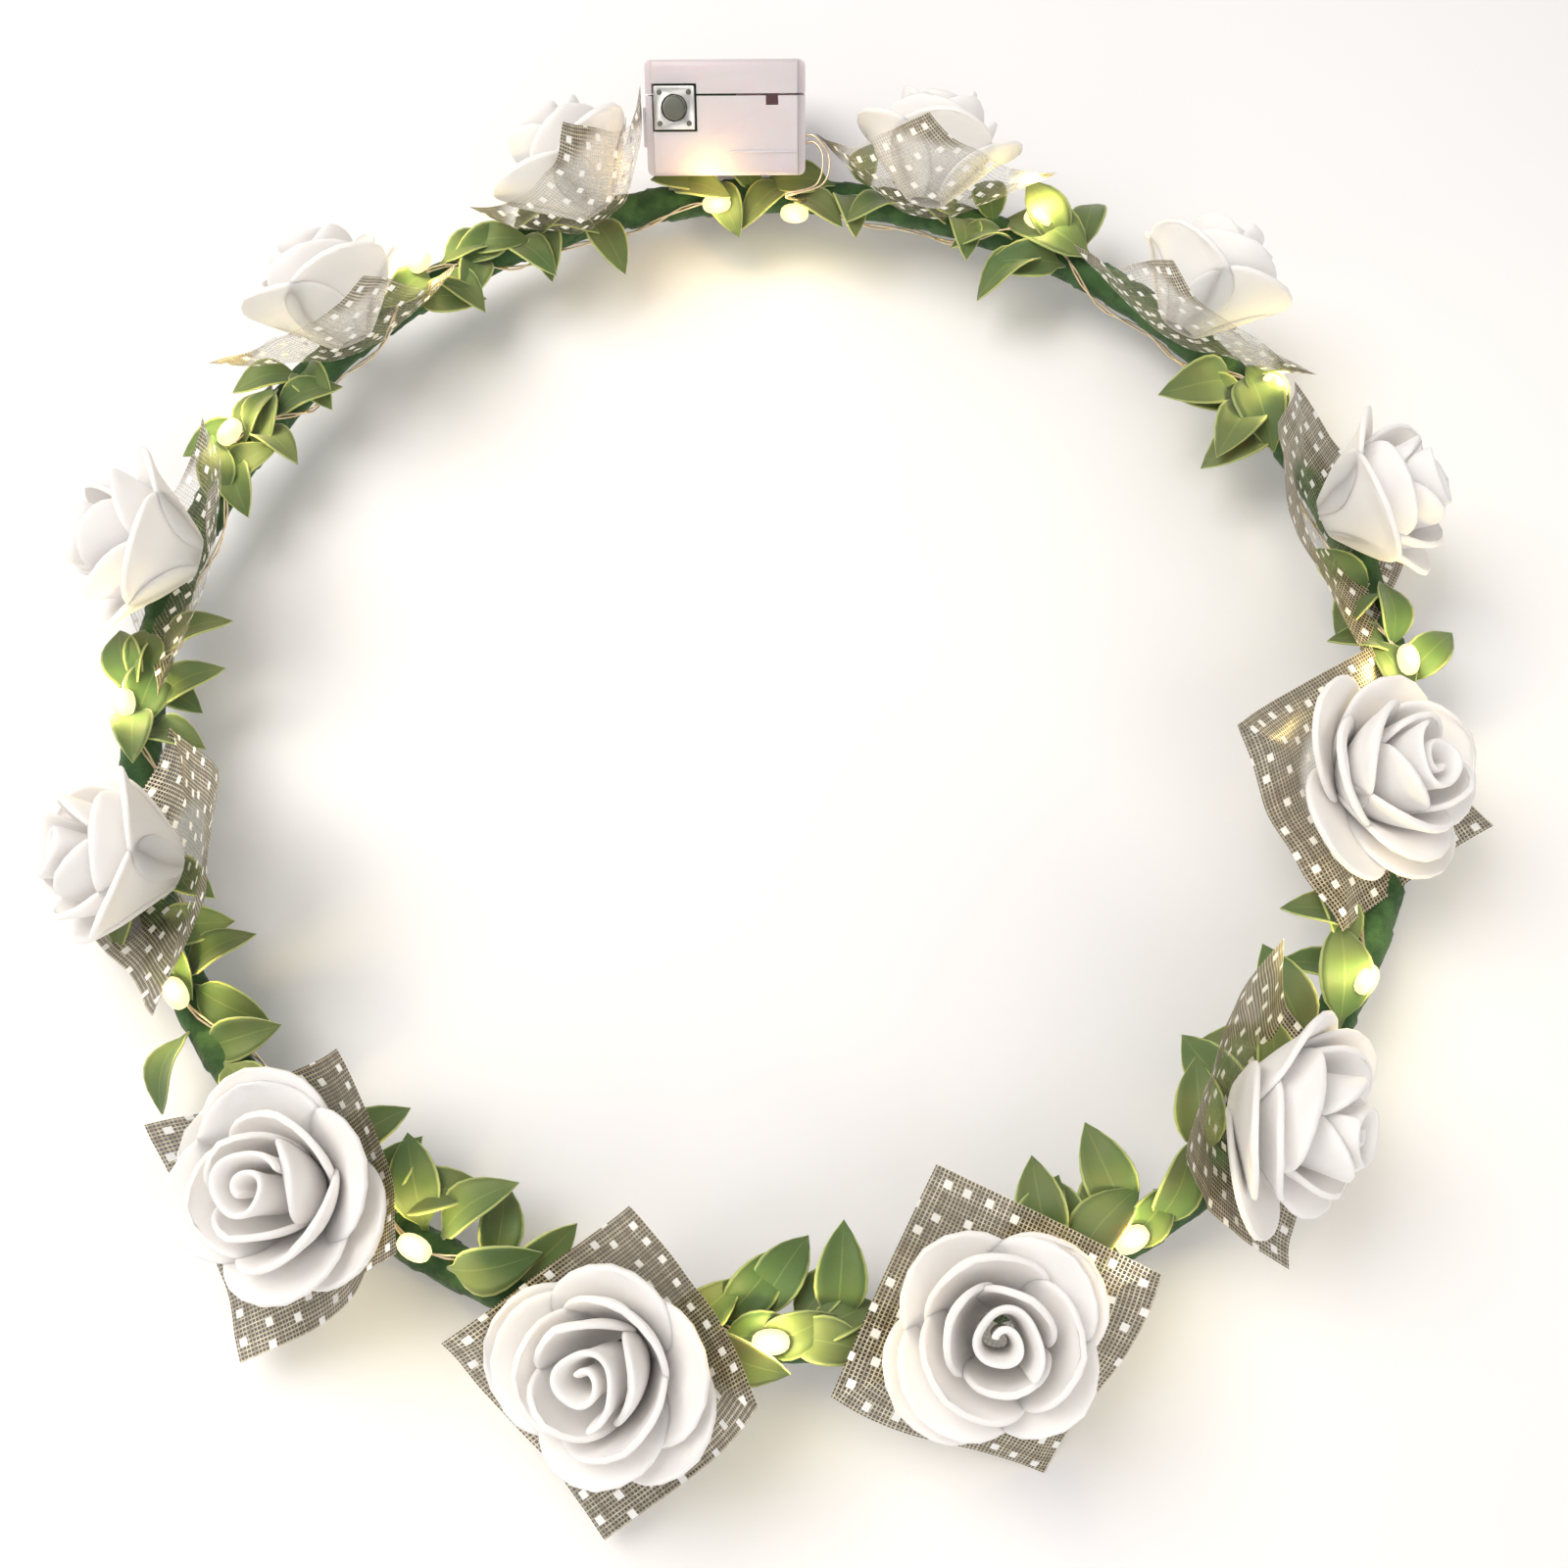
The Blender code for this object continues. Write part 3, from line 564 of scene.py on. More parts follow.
def smooth_path(corners, steps):
    """Points on a smooth curve through these corners."""
    ends = [corners[0] * 2 - corners[1], *corners, corners[-1] * 2 - corners[-2]]
    points = []
    for a, b, c, d in zip(ends, ends[1:], ends[2:], ends[3:]):
        for k in range(steps):
            t = k / steps
            bend = (2 * a - 5 * b + 4 * c - d) * t**2 + (3 * b - a - 3 * c + d) * t**3
            points.append(0.5 * (2 * b + (c - a) * t + bend))
    points.append(corners[-1].copy())
    return points


def add_patch(shape, point, columns, rows, uv=None):
    """A grid of faces over point(s, t), with s from -1 to 1 and t from 0 to 1. It may fill a UV map."""
    flat, grid = {}, []
    for j in range(rows + 1):
        line = []
        for i in range(columns + 1):
            vert = shape.verts.new(point(2 * i / columns - 1, j / rows))
            flat[vert] = (i / columns, j / rows)
            line.append(vert)
        grid.append(line)
    for low, high in zip(grid, grid[1:]):
        for i in range(columns):
            face = shape.faces.new((low[i], low[i + 1], high[i + 1], high[i]))
            for loop in face.loops if uv else ():
                loop[uv].uv = flat[loop.vert]


def thicken(item, thickness):
    """Gives a thin piece its thickness, half on each side."""
    thick = item.modifiers.new("thickness", "SOLIDIFY")
    thick.thickness = thickness
    thick.offset = 0.0


def smooth_step(share):
    share = min(max(share, 0.0), 1.0)
    return share * share * (3 - 2 * share)


print("piece helpers ready")

# %% [markdown]
# ## The taped hoop
# Florist's tape is wound slantwise round the wire, each turn half over the one before. It
# follows a path and repeats, so Geometry Nodes make it: a circle swept into a tube, and a
# saw-tooth in its radius, running round and along at once, for the overlapping edge.

# %% Geometry Nodes helpers


def new_node_tree(name, sizes):
    """An empty geometry tree with named float inputs, and its way out."""
    tree = bpy.data.node_groups.new(name, "GeometryNodeTree")
    tree.interface.new_socket("Geometry", in_out="INPUT", socket_type="NodeSocketGeometry")
    for label, value in sizes:
        socket = tree.interface.new_socket(label, in_out="INPUT", socket_type="NodeSocketFloat")
        socket.default_value = value
    tree.interface.new_socket("Geometry", in_out="OUTPUT", socket_type="NodeSocketGeometry")
    return tree, tree.nodes.new("NodeGroupInput").outputs, tree.nodes.new("NodeGroupOutput").inputs[0]


def place_node(tree, kind, settings=None, **inputs):
    """A node with its settings and its inputs, given by name with _ for a space."""
    node = tree.nodes.new(kind)
    for label, value in (settings or {}).items():
        setattr(node, label, value)
    for label, value in inputs.items():
        connect(tree, value, node.inputs[label.replace("_", " ")])
    return node


def captured(tree, geometry, label):
    """Notes on each point of a curve how far along it is, and gives the curve and that share."""
    node = place_node(tree, "GeometryNodeCaptureAttribute", {"domain": "POINT"}, Geometry=geometry)
    node.capture_items.new("FLOAT", label)
    factor = place_node(tree, "GeometryNodeSplineParameter").outputs["Factor"]
    tree.links.new(factor, node.inputs[label])
    return node.outputs[0], node.outputs[label]


def circle_of(tree, sides, radius):
    return place_node(tree, "GeometryNodeCurvePrimitiveCircle", Resolution=sides, Radius=radius).outputs[0]


def end_tree(tree, geometry, material, way_out):
    real = place_node(tree, "GeometryNodeRealizeInstances", Geometry=geometry)
    painted = place_node(tree, "GeometryNodeSetMaterial", Geometry=real.outputs[0], Material=material)
    tree.links.new(painted.outputs[0], way_out)


def grown(item, tree, **sizes):
    """The plain mesh that a tree makes from an object. The object is removed again."""
    modifier = item.modifiers.new("nodes", "NODES")
    modifier.node_group = tree
    for socket in tree.interface.items_tree:
        label = socket.name.replace(" ", "_")
        if socket.in_out == "INPUT" and label in sizes:
            modifier[socket.identifier] = float(sizes[label])
    graph = bpy.context.evaluated_depsgraph_get()
    mesh = bpy.data.meshes.new_from_object(item.evaluated_get(graph), depsgraph=graph)
    bpy.data.objects.remove(item)
    return mesh


def path_object(name, points, closed=False):
    curve = bpy.data.curves.new(name, "CURVE")
    curve.dimensions = "3D"
    spline = curve.splines.new("POLY")
    spline.points.add(len(points) - 1)
    for slot, point in zip(spline.points, points):
        slot.co = (*point, 1)
    spline.use_cyclic_u = closed
    item = bpy.data.objects.new(name, curve)
    scene.collection.objects.link(item)
    return item


print("geometry helpers ready")

# %% Tree: tape wound on a wire
wrap_tree, given, way_out = new_node_tree(
    "wound tape", (("Radius", 2.4 * MM), ("Overlap", 0.32 * MM), ("Turns", 62.0))
)
CRINKLE_SCALE = 900.0
CRINKLE_SHARE = 1.2
TAPE_SIDES = 16
path, along = captured(wrap_tree, given["Geometry"], "Along")
profile, around = captured(wrap_tree, circle_of(wrap_tree, TAPE_SIDES, given["Radius"]), "Around")
tube = place_node(wrap_tree, "GeometryNodeCurveToMesh", Curve=path, Profile_Curve=profile)
turned = calculate(wrap_tree, "MULTIPLY", along, given["Turns"])
saw = calculate(wrap_tree, "FRACT", calculate(wrap_tree, "ADD", turned, around))
crinkle = place_node(wrap_tree, "ShaderNodeTexNoise", Scale=CRINKLE_SCALE).outputs[0]
raised = calculate(wrap_tree, "ADD", saw, calculate(wrap_tree, "MULTIPLY", crinkle, CRINKLE_SHARE))
height = calculate(wrap_tree, "MULTIPLY", raised, given["Overlap"])
push = scaled(wrap_tree, place_node(wrap_tree, "GeometryNodeInputNormal").outputs[0], height)
moved = place_node(wrap_tree, "GeometryNodeSetPosition", Geometry=tube.outputs[0], Offset=push)
end_tree(wrap_tree, moved.outputs[0], tape, way_out)
print("tree", wrap_tree.name)

# %% Wind the tape
HOOP_STEPS = 900
circle = [beside_hoop(360 * k / HOOP_STEPS, 0, 0) for k in range(HOOP_STEPS)]
wound = grown(path_object("tape_path", circle, closed=True), wrap_tree, Radius=2.25 * MM, Turns=88)
wrap = add_piece("tape_wrap", wound, tape, ["stem_wrap"])
print(wrap.name, len(wound.polygons), "faces")

# %% [markdown]
# ## The light string
# Two enamelled wires run side by side and a lamp is soldered across them every 50 mm. The
# pair is laid along the inside of the hoop, and dips below it between one lamp and the next.
# The tree takes one path and makes both wires, each winding slowly round the path.

# %% Tree: a pair of thin wires
pair_tree, given, way_out = new_node_tree(
    "pair of wires", (("Wire radius", 0.15 * MM), ("Spread", 0.24 * MM), ("Twists", 40.0))
)
WIRE_SIDES = 6
strands = []
for half_turn in (0.0, 0.5):
    along = place_node(pair_tree, "GeometryNodeSplineParameter").outputs["Factor"]
    turned = calculate(pair_tree, "ADD", calculate(pair_tree, "MULTIPLY", along, given["Twists"]), half_turn)
    angle = calculate(pair_tree, "MULTIPLY", turned, 2 * math.pi)
    normal = place_node(pair_tree, "GeometryNodeInputNormal").outputs[0]
    tangent = place_node(pair_tree, "GeometryNodeInputTangent").outputs[0]
    swung = place_node(
        pair_tree, "ShaderNodeVectorRotate", {"rotation_type": "AXIS_ANGLE"},
        Vector=normal, Axis=tangent, Angle=angle,
    )
    aside = scaled(pair_tree, swung.outputs[0], given["Spread"])
    strand = place_node(pair_tree, "GeometryNodeSetPosition", Geometry=given["Geometry"], Offset=aside)
    strands.append(
        place_node(
            pair_tree, "GeometryNodeCurveToMesh", Curve=strand.outputs[0],
            Profile_Curve=circle_of(pair_tree, WIRE_SIDES, given["Wire radius"]), Fill_Caps=True,
        )
    )
both = place_node(pair_tree, "GeometryNodeJoinGeometry")
for strand in strands:
    pair_tree.links.new(strand.outputs[0], both.inputs[0])
end_tree(pair_tree, both.outputs[0], copper, way_out)
print("tree", pair_tree.name)

# %% Lay the wires
# Each lamp: hoop station, section round the hoop.
LAMPS = (
    (87.0, 158), (61.5, 84), (31.5, 84), (0.5, 84), (-30.5, 84), (-60.5, 84), (-90.0, 84),
    (-119.0, 84), (-149.0, 84), (-177.0, 84), (-206.5, 84), (-232.5, 84), (-264.5, 140),
)
CORD_DISTANCE = 3.35 * MM
UNDER_SECTION = 250
SPAN_STEPS = 26


def wire_path():
    points = []
    for (start, section), (end, next_section) in zip(LAMPS, LAMPS[1:]):
        for k in range(SPAN_STEPS):
            share = k / SPAN_STEPS
            dip = smooth_step(1 - abs(2 * share - 1))
            level = section + (next_section - section) * share
            station = start + (end - start) * share
            points.append(beside_hoop(station, CORD_DISTANCE, level + (UNDER_SECTION - level) * dip))
    points.append(beside_hoop(LAMPS[-1][0], CORD_DISTANCE, LAMPS[-1][1]))
    return points


pair = grown(path_object("wire_path", wire_path()), pair_tree, Twists=46)
string = add_piece("light_wires", pair, copper, ["light_wire"])
print(string.name, len(pair.polygons), "faces")

# %% [markdown]
# ### The lamps
# A drop of clear resin covers each chip and the two solder joints. The drop is a spindle
# turned about the wires, thicker in the middle. It shines, and a small warm lamp above it
# lights the petals and leaves around, as the real one does.

# %% Lamp drops
DROP_LENGTH = 4.4 * MM
DROP_WIDTH = 2.9 * MM
DROP_LIFT = 0.75 * MM
DROP_FULLNESS = 0.8
DROP_END = 0.02 * MM
DROP_ROWS = 9
DROP_SIDES = 12
LAMP_GLOW = (1.0, 0.80, 0.34)
LAMP_POWER = 0.005
LAMP_SIZE = 1.2 * MM
LAMP_LIFT = 1.6 * MM
INNER_LAMP_SHARE = 0.3


def add_point_lamp(name, spot, power, colour, size):
    glow = bpy.data.lights.new(name, "POINT")
    glow.energy = power
    glow.color = colour
    glow.shadow_soft_size = size
    lamp = bpy.data.objects.new(name, glow)
    lamp.location = spot
    scene.collection.objects.link(lamp)


def make_drop(number, station, section):
    centre = beside_hoop(station, CORD_DISTANCE + DROP_LIFT + DROP_WIDTH / 2, section)
    _, forward, _ = directions(station)
    out = (centre - beside_hoop(station, 0, 0)).normalized()
    side = out.cross(forward)
    shape = bmesh.new()
    rings = []
    for j in range(DROP_ROWS):
        turn = math.pi * j / (DROP_ROWS - 1)
        radius = DROP_WIDTH / 2 * math.sin(turn) ** DROP_FULLNESS + DROP_END
        ring = []
        for k in range(DROP_SIDES):
            around = 2 * math.pi * k / DROP_SIDES
            spot = centre - forward * math.cos(turn) * DROP_LENGTH / 2
            spot += radius * (math.cos(around) * side + math.sin(around) * out)
            ring.append(shape.verts.new(spot))
        rings.append(ring)
    join_rings(shape, rings)
    name = f"lamp_drop_{number:02d}"
    add_piece(name, mesh_from(name, shape), resin, [f"light_{number:02d}"])
    power = LAMP_POWER * (INNER_LAMP_SHARE if section > 90 else 1)
    lit = centre + out * (DROP_WIDTH / 2 + LAMP_LIFT)
    add_point_lamp(f"glow_{number:02d}", lit, power, LAMP_GLOW, LAMP_SIZE)


for number, (station, section) in enumerate(LAMPS, start=1):
    make_drop(number, station, section)
print("lamps", len(LAMPS))

# %% [markdown]
# ## The roses
# A foam rose is cut from thin sheets of foam, soft and white. Round a rolled bud stand three
# whorls of petals, each lower and wider than the one inside it, and the outer ones turn back
# at the rim. One petal is a patch with a round outline, cupped round the rose's axis; the
# rolled bud is a strip in a spiral. Solidify then gives the foam its thickness.

# %% Where the roses stand
# Sizes of a rose and its net are in mm, and MM scales each finished shape.
ROSE_LENGTH = 17.5
ROSE_RADIUS = 12.5
FOOT_SHARE = 0.24
FLANK_SHARE = 0.80
FLANK_HEIGHT = 0.45 * ROSE_LENGTH
PETAL_WAVE = 1.04
ROSE_FOOT = FOOT_SHARE * ROSE_RADIUS * PETAL_WAVE
TAPE_CLEARANCE = 0.4
TULLE_THICKNESS = 0.3
FIT_GAP = 0.3
TULLE_GAP = TAPE_CLEARANCE + TULLE_THICKNESS + FIT_GAP
# Each rose: hoop station, heading from outward, rise, seat and aside (mm), turn of its
# tulle, slope of the tulle, slope of its lower side, curl, and turn of its petals.
ROSES = {
    "01": (110.0, 20, 30, 2.0, 0, 0, 42, 42, 15, 40),
    "02": (137.5, -20, 32, 2.0, 0, 0, 20, 42, 5, 10),
    "03": (169.0, 11, 30, 2.0, 0, 0, 12, 42, 5, 65),
    "04": (199.5, -17, 36, 1.0, 0, 0, 10, 42, 5, 25),
    "05": (232.0, -24, 75, 0, -1.5, 14, 40, -5, 0, 50),
    "06": (260.8, -35, 70, 0, -2.7, 0, 40, 0, -10, 5),
    "07": (288.8, -40, 80, 0, -3.5, 0, 30, -28, -20, 30),
    "08": (314.5, 22, 32, 0.5, 0, 45, 18, 42, 0, 55),
    "09": (347.0, -2, 62, 0.5, 0, 0, 22, 42, -30, 15),
    "10": (15.0, -12, 36, 1.0, 0, 0, 8, 42, 0, 35),
    "11": (42.5, 12, 28, 2.0, 0, 0, 15, 42, 5, 70),
    "12": (73.0, 5, 26, 2.0, 0, 0, 30, 42, 10, 20),
}


def flank_distance(height):
    """From the rose's axis to the hoop's centre, with the hoop touching the rose's flank."""
    lean = math.atan2(FLANK_HEIGHT, (FLANK_SHARE - FOOT_SHARE) * ROSE_RADIUS * PETAL_WAVE)
    room = TAPE_RADIUS / MM + TULLE_GAP + FIT_GAP
    return ROSE_FOOT + height / math.tan(lean) + room / math.sin(lean)


def rose_place(station, heading, rise, seat, aside):
    """The matrix of a rose, in millimetres: origin at its foot, Z up the flower."""
    axis = pointing(station, heading, rise)
    _, forward, up = directions(station)
    across = (up - up.dot(axis) * axis).normalized()
    side = (forward - forward.dot(axis) * axis).normalized()
    if aside:
        climb = abs(forward.dot(axis) / forward.dot(side))
        foot = axis * (TAPE_RADIUS / MM + TULLE_GAP + climb * ROSE_FOOT) + across * aside
    else:
        foot = across * flank_distance(seat) - axis * seat
    place = Matrix((side, axis.cross(side), axis)).transposed().to_4x4()
    place.translation = beside_hoop(station, 0, 0) / MM + foot
    return place


PLACES = {number: rose_place(*row[:5]) for number, row in ROSES.items()}
print("roses", len(PLACES))

# %% Shape of one petal
# Each whorl: petals, reach and height of the rim, half width (mm), how far the rim turns
# back, and how soon the petal opens.
WHORLS = (
    (4, 11.2, 12.2, 9.4, 1.5, 1.25),
    (3, 8.3, 15.2, 8.8, 0.7, 1.9),
    (3, 5.7, 17.0, 6.2, 0.25, 2.4),
)
PETAL_STEPS = 9
PETAL_FOOT = 2.2
PETAL_START = 0.8
LEAST_BEND = 2.5
BEND_EASE = 1.12
LIP_FROM = 0.66
EDGE_FROM = 0.55
RIM_DROP = 0.45
SOFT_SWELL = 0.55
SOFT_RIM = 0.9
FOAM_THICKNESS = 0.8 * MM


def outline(t):
    """Share of a petal's half width at t: a narrow foot, widest past the middle, a round end."""
    widest = 0.58
    if t < widest:
        return 0.30 + 0.70 * math.sin(math.pi / 2 * t / widest)
    return math.sqrt(max(0.0, 1 - ((t - widest) / (1 - widest)) ** 2))


def petal_point(s, t, reach, height, width, lip, opening, seed):
    """A point of a petal that stands on the +X side of the rose, in mm."""
    swell = 1 - (1 - t) ** opening
    radius = PETAL_FOOT + (reach - PETAL_FOOT) * swell
    rise = PETAL_START + (height - PETAL_START) * t
    across = s * width * outline(t)
    bend = max(radius, LEAST_BEND) * BEND_EASE
    back = smooth_step((t - LIP_FROM) / (1 - LIP_FROM))
    edge = smooth_step((abs(s) - EDGE_FROM) / (1 - EDGE_FROM))
    radius += lip * back**2 + 0.5 * lip * edge * t
    rise -= RIM_DROP * lip * back**2
    radius += SOFT_SWELL * noise.noise(Vector((0.23 * across, 2.2 * t, seed))) * t
    rise += SOFT_RIM * noise.noise(Vector((0.2 * across, 3.0, seed + 7.0))) * t
    angle = across / bend
    return Vector((radius - bend + bend * math.cos(angle), bend * math.sin(angle), rise))


print("whorls", len(WHORLS))

# %% Shape of the rolled bud
BUD_TURNS = 1.6
BUD_OUTER = 4.3
BUD_INNER = 0.7
BUD_START = 6.0
BUD_TOP = 17.3
BUD_SINK = 1.3
BUD_TAPER = 0.20
BUD_SOFTNESS = 0.35
BUD_STEPS = 52
BUD_ROWS = 6


def bud_point(s, t):
    """The rolled bud: s runs round the roll from its outer end to its middle, t is up."""
    share = (s + 1) / 2
    radius = BUD_OUTER - (BUD_OUTER - BUD_INNER) * share**0.85
    angle = 2 * math.pi * BUD_TURNS * share
    radius += BUD_SOFTNESS * math.sin(3 * angle + 1.0) * (1 - share)
    top = BUD_TOP - BUD_SINK * share
    rise = BUD_START + (top - BUD_START) * t
    radius *= 1 - BUD_TAPER + BUD_TAPER * t
    radius += BUD_SOFTNESS * smooth_step((t - 0.7) / 0.3)
    return Vector((radius * math.cos(angle), radius * math.sin(angle), rise))


print("bud turns", BUD_TURNS)

# %% [markdown]
# A rose that was handled has a petal or two that has flopped open. They are listed:
# the rose, the bearing of the petal on it, its reach and the height of its rim.

# %% Make the roses
OPEN_PETALS = {
    "05": ((142, 14.0, 12.5), (188, 14.0, 9.5), (8, 14.0, 9.0)),
    "06": ((178, 14.0, 10.0), (330, 14.0, 9.5)),
    "07": ((195, 14.0, 9.5), (20, 13.0, 11.0)),
    "08": ((348, 12.0, 14.0), (140, 14.5, 10.0), (198, 15.0, 8.0)),
    "09": ((75, 15.0, 11.0), (155, 15.5, 8.0), (225, 14.0, 9.0)),
}


# An open petal's half width (mm), how far its rim turns back, and how soon it opens.
OPEN_SHAPE = (8.8, 0.6, 1.1)
BEARING_JITTER = 9


def add_turned(shape, point, columns, rows, bearing):
    """Adds a patch that is turned about the rose's axis."""
    turned = Matrix.Rotation(math.radians(bearing), 3, "Z")
    add_patch(shape, lambda s, t: turned @ point(s, t), columns, rows)


def make_rose(number):
    turn = ROSES[number][-1]
    rng = random.Random(int(number))
    shape = bmesh.new()
    petals = []
    for whorl, (count, reach, height, width, lip, opening) in enumerate(WHORLS):
        for k in range(count):
            bearing = turn + 360 * (k + 0.5 * whorl) / count
            bearing += rng.uniform(-BEARING_JITTER, BEARING_JITTER)
            scale = rng.uniform(0.94, 1.05)
            taller = height * rng.uniform(0.95, 1.03)
            petals.append((bearing, reach * scale, taller, width * scale, lip, opening))
    for petal in OPEN_PETALS.get(number, ()):
        petals.append((*petal, *OPEN_SHAPE))
    for bearing, *sizes in petals:
        seed = rng.uniform(0, 50)
        add_turned(shape, lambda s, t: petal_point(s, t, *sizes, seed), PETAL_STEPS, PETAL_STEPS, bearing)
    add_turned(shape, bud_point, BUD_STEPS, BUD_ROWS, rng.uniform(0, 360))
    shape.transform(Matrix.Scale(MM, 4) @ PLACES[number])
    name = f"foam_rose_{number}"
    item = add_piece(name, mesh_from(name, shape, 0.02 * MM), foam, [f"rose_{number}"])
    thicken(item, FOAM_THICKNESS)
    soft = item.modifiers.new("soft", "SUBSURF")
    soft.levels = 1
    soft.render_levels = 1
    return item


rose_pieces = {number: make_rose(number) for number in ROSES}
print("rose pieces", len(rose_pieces))

# %% [markdown]
# ## The tulle squares
# A square of stiff net, 30 mm on a side, is pushed on behind each rose before the rose goes
# on the hoop. It is folded by a rule rather than by a simulation, because it is stiff: every
# straight line from its middle keeps its length and bends in one plane, as paper would. The
# net leaves the rose's foot, rises round the flower by its slope, and curls near its edge.

# %% Fold a square of net
TULLE_SIDE = NET_SIDE_MM
NET_STEPS = 28
NET_HOLD = 3.1
NET_SINK = 0.45
WRAPPED = ("01", "02", "03", "11", "12")
BEND_STEPS = 14
BEND_REACH = 2.5
TIP_FROM = 0.5
TIP_REACH = 0.4
LOOSE_FROM = 6.0
LOOSE_REACH = 10.0
TABLE_GAP = 0.15


def net_point(a, b, row, climb, seed):
    """The point of the folded net for a point (a, b) of the flat square, in mm."""
    turn, slope, low_slope, curl = row
    reach_out = math.hypot(a, b)
    corner = math.atan2(b, a) - math.pi / 4
    bearing = corner + math.radians(turn)
    full = TULLE_SIDE / 2 * reach_out / max(abs(a), abs(b)) if reach_out else 1.0
    down = max(0.0, -math.sin(bearing))
    rise = math.radians(slope + (low_slope - slope) * down)
    start = min(reach_out, NET_HOLD)
    out, lift = start, -NET_SINK
    step = (reach_out - start) / BEND_STEPS
    for k in range(BEND_STEPS):
        along = start + step * (k + 0.5)
        bend = smooth_step((along - NET_HOLD) / BEND_REACH)
        tip = smooth_step((along / full - TIP_FROM) / TIP_REACH)
        angle = rise * bend + math.radians(curl) * tip
        out += step * math.cos(angle)
        lift += step * math.sin(angle)
    loose = smooth_step((reach_out - LOOSE_FROM) / LOOSE_REACH)
    ripple = math.sin(5 * bearing + seed) * 0.75 + noise.noise(Vector((a * 0.16, b * 0.16, seed))) * 1.1
    lift -= loose * (0.35 + 0.65 * ripple)
    spot = Vector((out * math.cos(bearing), out * math.sin(bearing), lift))
    spot.z += max(0.0, abs(climb) * (math.copysign(spot.x, spot.x * climb) - NET_HOLD))
    return spot


def make_net(number):
    place = PLACES[number]
    station, _, _, _, aside, *row = ROSES[number][:-1]
    _, forward, _ = directions(station)
    climb = forward.dot(place.col[2].xyz) / forward.dot(place.col[0].xyz) if aside else 0.0
    shape = bmesh.new()
    uv = shape.loops.layers.uv.new("UVMap")
    half = TULLE_SIDE / 2

    def folded(s, t):
        spot = place @ net_point(half * s, half * (2 * t - 1), row, climb, float(int(number)))
        spot.z = max(spot.z, TABLE_GAP)
        return spot * MM

    add_patch(shape, folded, NET_STEPS, NET_STEPS, uv)
    name = f"tulle_square_{number}"
    net = tulle_wrapped if number in WRAPPED else tulle_open
    item = add_piece(name, mesh_from(name, shape), net, [f"tulle_{number}"])
    return item


nets = {number: make_net(number) for number in ROSES}
print("tulle squares", len(nets))

# %% [markdown]
# ## The leaves
# Satin leaves are stamped in one shape and tied on in small sprigs, so one leaf is modelled
# and Geometry Nodes repeat it. Each point of a small cloud is the foot of a leaf and holds
# its turn and its length; the tree sets a leaf there, and bends nothing afterwards.

# %% One leaf
LEAF_ROWS = 9
LEAF_WIDTH = 0.50
LEAF_COLUMNS = 6
STALK_LENGTH = 0.10
STALK_WIDTH = 0.05
CUP = 0.32
ARCH = 0.16
TIP_BEND = 0.10


def leaf_point(s, t):
    """A point of a leaf 1 long on +X: s runs over its width from left to right, t along it."""
    half = STALK_WIDTH
    if t >= STALK_LENGTH:
        share = (t - STALK_LENGTH) / (1 - STALK_LENGTH)
        half += (1 - STALK_WIDTH) * math.sin(math.pi * share**0.85) ** 0.72
        half *= 1 - share**14
    across = -s * half * LEAF_WIDTH / 2
    cupped = -CUP * across * s * half
    return t, across, cupped + ARCH * math.sin(math.pi * t) - TIP_BEND * t**3


def leaf_mesh():
    """The leaf with its face up: cupped, arched, and its tip bent back a little."""
    shape = bmesh.new()
    add_patch(shape, leaf_point, LEAF_COLUMNS, LEAF_ROWS, shape.loops.layers.uv.new("UVMap"))
    mesh = bpy.data.meshes.new("leaf")
    shape.to_mesh(mesh)
    shape.free()
    mesh.shade_smooth()
    return mesh


one_leaf = bpy.data.objects.new("one_leaf", leaf_mesh())
scene.collection.objects.link(one_leaf)
print("leaf faces", len(one_leaf.data.polygons))

# %% Tree: leaves on points
leaf_tree, given, way_out = new_node_tree("leaves on a sprig", (("Size", 1.0),))
pattern = place_node(leaf_tree, "GeometryNodeObjectInfo", Object=one_leaf)
named = "GeometryNodeInputNamedAttribute"
turn = place_node(leaf_tree, named, {"data_type": "FLOAT_VECTOR"}, Name="turn")
length = place_node(leaf_tree, named, {"data_type": "FLOAT"}, Name="length")
size = calculate(leaf_tree, "MULTIPLY", length.outputs[0], given["Size"])
points = place_node(leaf_tree, "GeometryNodeMeshToPoints", Mesh=given["Geometry"])
as_turn = place_node(leaf_tree, "FunctionNodeEulerToRotation", Euler=turn.outputs[0])
set_out = place_node(
    leaf_tree, "GeometryNodeInstanceOnPoints", Points=points.outputs[0],
    Instance=pattern.outputs["Geometry"], Rotation=as_turn.outputs[0], Scale=size,
)
end_tree(leaf_tree, set_out.outputs[0], leaf, way_out)
print("tree", leaf_tree.name)

# %% Sprigs of leaves
# Each sprig: its first and last hoop station, its leaves, the heading from straight outward
# that they fan round, how wide they fan, and how much of the longest one shows (mm).
SPRIGS = {
    "01": (108, 130, 13, 190, 90, 10),
    "02": (143, 159, 10, 170, 110, 8),
    "03": (176, 186, 9, 200, 100, 11),
    "04": (198, 220, 9, 120, 70, 10),
    "05": (230, 250, 9, 160, 50, 11),
    "06": (263, 276, 10, 120, 40, 12),
    "07": (290, 303, 9, 140, 40, 12),
    "08": (308, 336, 10, 155, 45, 12),
    "09": (357, 371, 6, 120, 90, 10),
    "10": (28, 36, 6, 170, 75, 13),
    "11": (55, 60, 5, 80, 65, 15),
    "12": (63, 101, 15, 130, 110, 10),
}
